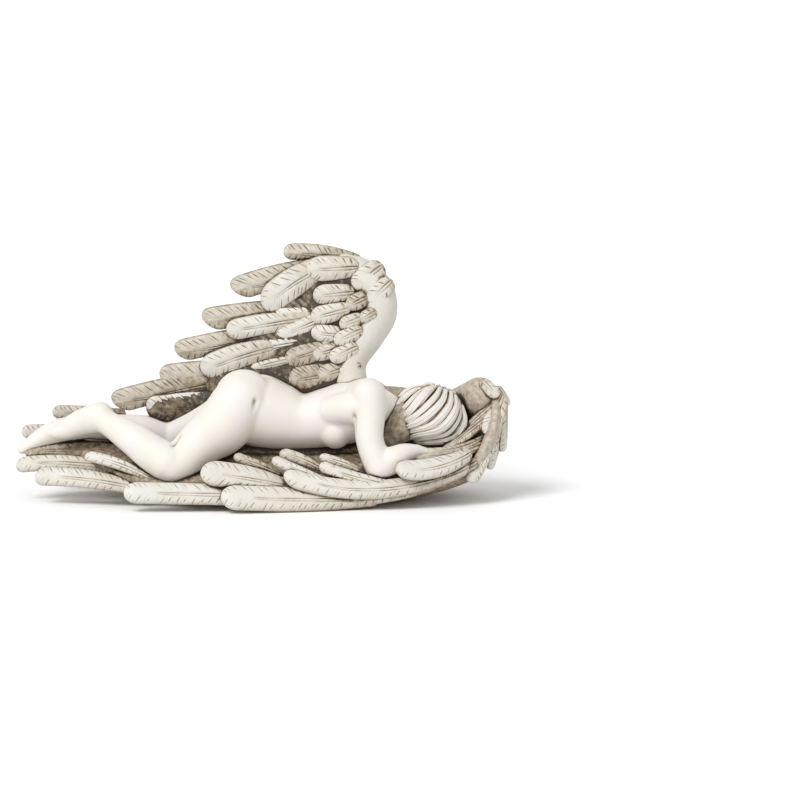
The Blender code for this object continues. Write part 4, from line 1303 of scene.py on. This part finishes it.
@dataclass
class RecessWashAndShade:
    """How deep each place lies in the casting, as an occlusion measure: the brown wash and painted shade are
    laid where it is deep.
    """

    pitch: float = 1.2 * MM
    fine: float = 2.6 * MM
    broad: float = 9.0 * MM

    def fill(self, bodies: list[bpy.types.Object]) -> tuple[np.ndarray, np.ndarray]:
        """Grid that is 1 inside the casting and 0 outside.

        Args:
            bodies: The pieces of the casting.

        Returns:
            The grid and its lowest corner.
        """
        joined = bmesh.new()
        for body in bodies:
            joined.from_mesh(body.data)
        mesh = bpy.data.meshes.new("whole")
        joined.to_mesh(mesh)
        joined.free()
        whole = bpy.data.objects.new("whole", mesh)
        bpy.context.scene.collection.objects.link(whole)
        Mesher.fuse(whole, self.pitch, 0)
        spots = Mesher.points(whole)
        margin = 3.0 * self.broad
        low = spots.min(axis=0) - margin
        count = np.ceil((spots.max(axis=0) + margin - low) / self.pitch).astype(int)
        tree = BVHTree.FromObject(whole, bpy.context.evaluated_depsgraph_get())
        grid = np.zeros(count, np.float32)
        heights = low[2] + (np.arange(count[2]) + 0.5) * self.pitch
        skip = int(margin / self.pitch) - 1
        for i in range(skip, count[0] - skip):
            for j in range(skip, count[1] - skip):
                start = Vector((low[0] + (i + 0.5) * self.pitch, low[1] + (j + 0.5) * self.pitch, low[2]))
                hits = []
                while len(hits) < 40:
                    hit = tree.ray_cast(start, Vector((0.0, 0.0, 1.0)))[0]
                    if hit is None:
                        break
                    hits.append(hit.z)
                    start = Vector((start.x, start.y, hit.z + 0.02 * MM))
                for a, b in zip(hits[::2], hits[1::2]):
                    grid[i, j, (heights > a) & (heights < b)] = 1.0
        bpy.data.objects.remove(whole)
        return grid, low

    def blur(self, grid: np.ndarray, radius: float) -> np.ndarray:
        """Mean over a soft ball.

        Args:
            grid: Values to spread.
            radius: Size of the ball.

        Returns:
            The blurred grid.
        """
        reach = max(1, round(radius / self.pitch / 1.9))
        for axis in (0, 1, 2) * 2:
            margins = [(reach + 1, reach) if a == axis else (0, 0) for a in range(3)]
            total = np.cumsum(np.pad(grid, margins), axis=axis)
            high = np.take(total, range(2 * reach + 1, total.shape[axis]), axis=axis)
            low = np.take(total, range(0, total.shape[axis] - 2 * reach - 1), axis=axis)
            grid = (high - low) / (2 * reach + 1)
        return grid.astype(np.float32)

    def sample(self, grid: np.ndarray, low: np.ndarray, spots: np.ndarray) -> np.ndarray:
        """Values of the grid at points, between its cells."""
        place = (spots - low) / self.pitch - 0.5
        base = np.clip(np.floor(place).astype(int), 0, np.array(grid.shape) - 2)
        f = np.clip(place - base, 0.0, 1.0)
        value = np.zeros(len(spots))
        for dx in (0, 1):
            for dy in (0, 1):
                for dz in (0, 1):
                    weight = np.abs(1 - dx - f[:, 0]) * np.abs(1 - dy - f[:, 1]) * np.abs(1 - dz - f[:, 2])
                    value += weight * grid[base[:, 0] + dx, base[:, 1] + dy, base[:, 2] + dz]
        return value

    def mark(self, bodies: list[bpy.types.Object]) -> None:
        """Write the fine and the broad occlusion of each point on the pieces, which the material turns into
        brown wash and painted shade.

        Args:
            bodies: The pieces of the casting.
        """
        grid, low = self.fill(bodies)
        # The floor counts as 0.4 solid for the broad measure, so parts near the standing plane and under the
        # figure get painted shade.
        floor = np.ones_like(grid)
        level = int((CAD_LOW[2] - low[2]) / self.pitch)
        floor[:, :, level:] = 0.0
        # The fine measure lays brown wash and painted shade in crevices; the broad one paints shade in
        # hollows, on undersides and near the floor.
        for name, radius, values in (
            ("crevice_wash_and_shade", self.fine, grid),
            ("broad_painted_shade", self.broad, np.maximum(grid, floor * 0.4)),
        ):
            soft = self.blur(values, radius)
            for body in bodies:
                spots, normals = Mesher.points(body), Mesher.normals(body)
                values = self.sample(soft, low, spots + normals * 0.35 * radius)
                Mesher.mark(body, name, values)


def linear(code: str) -> tuple[float, float, float, float]:
    """Linear colour of an sRGB hex value."""
    parts = [int(code[i : i + 2], 16) / 255.0 for i in (1, 3, 5)]
    return tuple(p / 12.92 if p <= 0.04045 else ((p + 0.055) / 1.055) ** 2.4 for p in parts) + (1.0,)


def add_node(
    tree: bpy.types.NodeTree,
    kind: str,
    settings: dict | None = None,
    links: dict | None = None,
) -> bpy.types.Node:
    """Add a node with its settings and inputs.

    Args:
        tree: Tree that gets the node.
        kind: Blender's name for the node.
        settings: Values of its own properties.
        links: Sockets or plain values by input name or place.

    Returns:
        The node.
    """
    node = tree.nodes.new(kind)
    for name, value in (settings or {}).items():
        setattr(node, name, value)
    for name, value in (links or {}).items():
        if isinstance(value, bpy.types.NodeSocket):
            tree.links.new(value, node.inputs[name])
        else:
            node.inputs[name].default_value = value
    return node


@dataclass(frozen=True)
class AntiquedStone:
    """Cast stone resin, rubbed with a brown wash that stays in the recesses, with painted shade laid into the
    same recesses, creases and undersides.

    Fine stone powder in polyester gives a dense matt skin with a faint grain and no gloss.
    """

    name: str
    pale: str
    warm: str
    tint: str
    # The wash and deepest colours colour both the brown wash and the painted shade.
    wash: str
    deep: str
    roughness: float = 0.62
    patch: float = 26.0 * MM
    cloud: float = 3.6 * MM
    grain: float = 0.5 * MM
    bump: float = 0.25
    bump_height: float = 0.35 * MM
    ior: float = 1.52
    comb: tuple = (2200.0, 160.0, 900.0)
    # Ranges and weights of the fine occlusion, the broad occlusion and the form's own share, which give the
    # brown wash and painted shade.
    crevice_wash_and_shade: tuple = (0.36, 0.62, 0.5)
    broad_painted_shade: tuple = (0.40, 0.75, 0.4)
    tone: float = 1.0
    streak: float = 0.22

    def build(self) -> bpy.types.Material:
        """Make the material."""
        made = bpy.data.materials.new(self.name)
        made.use_nodes = True
        tree = made.node_tree
        shader = tree.nodes["Principled BSDF"]
        shader.inputs["Roughness"].default_value = self.roughness
        shader.inputs["IOR"].default_value = self.ior
        place = add_node(tree, "ShaderNodeTexCoord").outputs["Object"]
        comb = add_node(tree, "ShaderNodeAttribute", {"attribute_name": "comb"}).outputs["Vector"]
        combed = add_node(
            tree, "ShaderNodeVectorMath", {"operation": "MULTIPLY"}, {0: comb, 1: self.comb}
        )
        patches, clouds, speck = (
            add_node(
                tree,
                "ShaderNodeTexNoise",
                links={"Vector": place, "Scale": 1.0 / size, "Detail": detail, "Roughness": 0.55},
            ).outputs[0]
            for size, detail in ((self.patch, 3.0), (self.cloud, 4.0), (self.grain, 2.0))
        )
        hatch = add_node(
            tree, "ShaderNodeTexNoise", links={"Vector": combed.outputs[0], "Scale": 1.0, "Detail": 2.0}
        ).outputs[0]
        tone = add_node(tree, "ShaderNodeAttribute", {"attribute_name": "tone"}).outputs["Fac"]
        cut = add_node(tree, "ShaderNodeAttribute", {"attribute_name": "cut"}).outputs["Fac"]
        uneven = add_node(
            tree,
            "ShaderNodeMapRange",
            links={"Value": clouds, "From Min": 0.3, "From Max": 0.7, "To Min": 0.6, "To Max": 1.4},
        ).outputs[0]
        streaks = add_node(
            tree,
            "ShaderNodeMapRange",
            links={
                "Value": hatch,
                "From Min": 0.35,
                "From Max": 0.65,
                "To Min": -0.5 * self.streak,
                "To Max": 0.5 * self.streak,
            },
        ).outputs[0]
        # Wash share: the fine and broad occlusion and the form's share, so the brown here is the wash
        # together with painted shade in crevices, hollows, under the figure and between feathers.
        total = self.sums(
            tree,
            [
                (self.spread(tree, "crevice_wash_and_shade", *self.crevice_wash_and_shade[:2]), self.crevice_wash_and_shade[2]),
                (self.spread(tree, "broad_painted_shade", *self.broad_painted_shade[:2]), self.broad_painted_shade[2]),
                (tone, self.tone),
            ],
        )
        total = add_node(tree, "ShaderNodeMath", {"operation": "MULTIPLY"}, {0: total, 1: uneven}).outputs[0]
        # Engraved cuts and pressed creases add to it: brown wash held in them, and painted shade in the
        # grooves.
        total = self.sums(tree, [(total, 1.0), (streaks, 1.0), (cut, 0.8)])
        skin = self.mix(tree, patches, linear(self.pale), linear(self.warm), 0.38, 0.62)
        ramp = add_node(tree, "ShaderNodeValToRGB", links={0: total})
        for stop in (0.3, 0.62):
            ramp.color_ramp.elements.new(stop)
        for element, code in zip(ramp.color_ramp.elements, (self.tint, self.tint, self.wash, self.deep)):
            element.color = linear(code)
        washed = {"Value": total, "From Min": 0.02, "From Max": 0.32}
        share = add_node(tree, "ShaderNodeMapRange", links=washed)
        colour = add_node(tree, "ShaderNodeMix", {"data_type": "RGBA"})
        tree.links.new(share.outputs[0], colour.inputs[0])
        tree.links.new(skin, colour.inputs[6])
        tree.links.new(ramp.outputs[0], colour.inputs[7])
        tree.links.new(colour.outputs[2], shader.inputs["Base Color"])
        height = self.sums(tree, [(speck, 0.5), (hatch, 0.6), (clouds, 0.4)])
        rough = {"Height": height, "Strength": self.bump, "Distance": self.bump_height}
        bump = add_node(tree, "ShaderNodeBump", links=rough)
        tree.links.new(bump.outputs[0], shader.inputs["Normal"])
        return made

    def sums(self, tree: bpy.types.NodeTree, parts: list) -> bpy.types.NodeSocket:
        """Weighted sum of values.

        Args:
            tree: Tree that gets the nodes.
            parts: Pairs of a value and its weight.

        Returns:
            The sum.
        """
        total = None
        for value, weight in parts:
            terms = {0: value, 1: weight, 2: 0.0}
            made = add_node(tree, "ShaderNodeMath", {"operation": "MULTIPLY_ADD"}, terms)
            if total is not None:
                tree.links.new(total, made.inputs[2])
            total = made.outputs[0]
        return total

    def spread(self, tree: bpy.types.NodeTree, name: str, low: float, high: float) -> bpy.types.NodeSocket:
        """Point attribute stretched between two values."""
        source = add_node(tree, "ShaderNodeAttribute", {"attribute_name": name})
        made = add_node(
            tree,
            "ShaderNodeMapRange",
            {"interpolation_type": "SMOOTHSTEP"},
            {"Value": source.outputs["Fac"], "From Min": low, "From Max": high},
        )
        return made.outputs[0]

    def mix(
        self,
        tree: bpy.types.NodeTree,
        share: bpy.types.NodeSocket,
        a: tuple,
        b: tuple,
        low: float,
        high: float,
    ) -> bpy.types.NodeSocket:
        """Two colours mixed by a pattern stretched between two values."""
        ends = {"Value": share, "From Min": low, "From Max": high}
        amount = add_node(tree, "ShaderNodeMapRange", links=ends)
        made = add_node(tree, "ShaderNodeMix", {"data_type": "RGBA"})
        tree.links.new(amount.outputs[0], made.inputs[0])
        made.inputs[6].default_value = a
        made.inputs[7].default_value = b
        return made.outputs[2]


# Each finish: pale and warm skin colours, then the tint, wash and deepest colours of the brown wash and the
# painted shade.
SKIN = AntiquedStone(
    "antiqued_stone_skin",
    "#E4DFDB", "#E3DED3", "#CFC5B9", "#A08D76", "#4A4138",
    streak=0.0,
    crevice_wash_and_shade=(0.42, 0.72, 0.6),
)
HAIR = AntiquedStone(
    "antiqued_stone_hair",
    "#DEDAD4", "#D9D3C8", "#C3B8A8", "#8B7A64", "#3F372E",
    streak=0.0,
    crevice_wash_and_shade=(0.33, 0.55, 0.8),
)
PLUMAGE = AntiquedStone("antiqued_stone_plumage", "#D9D7D1", "#D4D0C5", "#BDB3A3", "#8A785F", "#3B332A")


@dataclass(frozen=True)
class Studio:
    """Plain pale sweep, soft light and a long lens at the photograph's angle."""

    sight: float = 2.0
    elevation: float = math.radians(7.0)
    frame_width: float = 0.6
    sensor: float = 36.0
    floor: str = "#FBFBFB"

    def camera(self) -> None:
        """Camera whose axis meets the middle of the photograph."""
        aim = at(27.6, 0.0, 38.8)
        away = np.array((0.0, -math.cos(self.elevation), math.sin(self.elevation)))
        data = bpy.data.cameras.new("camera")
        data.sensor_width = self.sensor
        data.lens = self.sensor * self.sight / self.frame_width
        data.clip_end = 20.0
        body = bpy.data.objects.new("camera", data)
        body.location = Vector(aim + away * self.sight)
        body.rotation_euler = Vector(-away).to_track_quat("-Z", "Y").to_euler()
        bpy.context.scene.collection.objects.link(body)
        bpy.context.scene.camera = body

    def lights(self) -> None:
        """Broad soft suns from the upper left and the right, and a pale surround."""
        for name, place, spread, power in (
            ("key_light", (-0.9, -1.0, 1.4), 30.0, 2.1),
            ("fill_light", (1.3, -1.6, 0.9), 60.0, 0.5),
        ):
            data = bpy.data.lights.new(name, "SUN")
            data.energy = power
            data.angle = math.radians(spread)
            body = bpy.data.objects.new(name, data)
            body.rotation_euler = (-Vector(place)).to_track_quat("-Z", "Y").to_euler()
            bpy.context.scene.collection.objects.link(body)
        world = bpy.data.worlds.new("pale_surround")
        world.use_nodes = True
        world.node_tree.nodes["Background"].inputs[0].default_value = (1.0, 1.0, 1.0, 1.0)
        world.node_tree.nodes["Background"].inputs[1].default_value = 0.5
        bpy.context.scene.world = world
        bpy.context.scene.view_settings.view_transform = "Standard"

    def ground(self) -> None:
        """Floor that sweeps up into a wall far behind the statue."""
        half, reach, radius, top, steps = 6.0, 3.2, 1.0, 4.0, 24
        turns = np.linspace(0.0, math.pi / 2, steps)
        line = [(-half, 0.0), *((reach + radius * math.sin(a), radius * (1 - math.cos(a))) for a in turns)]
        line.append((reach + radius, top))
        points = [(x, y, z) for y, z in line for x in (-half, half)]
        faces = [(2 * i, 2 * i + 1, 2 * i + 3, 2 * i + 2) for i in range(len(line) - 1)]
        mesh = bpy.data.meshes.new("sweep")
        mesh.from_pydata(points, [], faces)
        mesh.shade_smooth()
        body = bpy.data.objects.new("sweep", mesh)
        bpy.context.scene.collection.objects.link(body)
        white = bpy.data.materials.new("matt_white_paper")
        white.use_nodes = True
        shader = white.node_tree.nodes["Principled BSDF"]
        shader.inputs["Base Color"].default_value = linear(self.floor)
        shader.inputs["Roughness"].default_value = 0.9
        mesh.materials.append(white)
        body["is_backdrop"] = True


@dataclass
class Statue:
    """The whole casting: its pieces, their fit to the frame and their finish."""

    underside: float = 0.3 * MM

    def fit(self, bodies: list[bpy.types.Object]) -> None:
        """Scale and shift all pieces together into the frame's box, and level the underside.

        Args:
            bodies: The pieces of the casting.
        """
        spots = [Mesher.points(body) for body in bodies]
        low = np.min([s.min(axis=0) for s in spots], axis=0)
        high = np.max([s.max(axis=0) for s in spots], axis=0)
        low[2] = 0.0
        LOG.info("modelled from %s to %s mm", (low / MM).round(1), (high / MM).round(1))
        for body, place in zip(bodies, spots):
            place = (place - low) * ((CAD_HIGH - CAD_LOW) / (high - low)) + CAD_LOW
            floor = CAD_LOW[2] + (0.0 if body.name.startswith("wing_bed") else self.underside)
            place[:, 2] = np.maximum(place[:, 2], floor)
            Mesher.place(body, place)

    def build(self) -> None:
        """Make, fit, mark, dress and hang the pieces."""
        hair, plumage = HAIR.build(), PLUMAGE.build()
        dressed = [(Figure().build(), SKIN.build()), (Hair().build(hair), hair)]
        dressed += [(body, plumage) for body in RaisedWing().build() + WingBed().build()]
        self.fit([body for body, _ in dressed])
        RecessWashAndShade().mark([body for body, _ in dressed])
        for body, finish in dressed:
            body.data.materials.clear()
            body.data.materials.append(finish)
            body.data.shade_smooth()
            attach(body, BODY)
            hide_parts(NODE)
            triangles = sum(len(p.vertices) - 2 for p in body.data.polygons)
            LOG.info("%s: %d triangles", body.name, triangles)


def main() -> None:
    """Build the statue and the studio."""
    logging.basicConfig(level=logging.INFO, format="%(name)s %(message)s")
    Statue().build()
    studio = Studio()
    studio.ground()
    studio.lights()
    studio.camera()


if __name__ == "__main__":
    main()
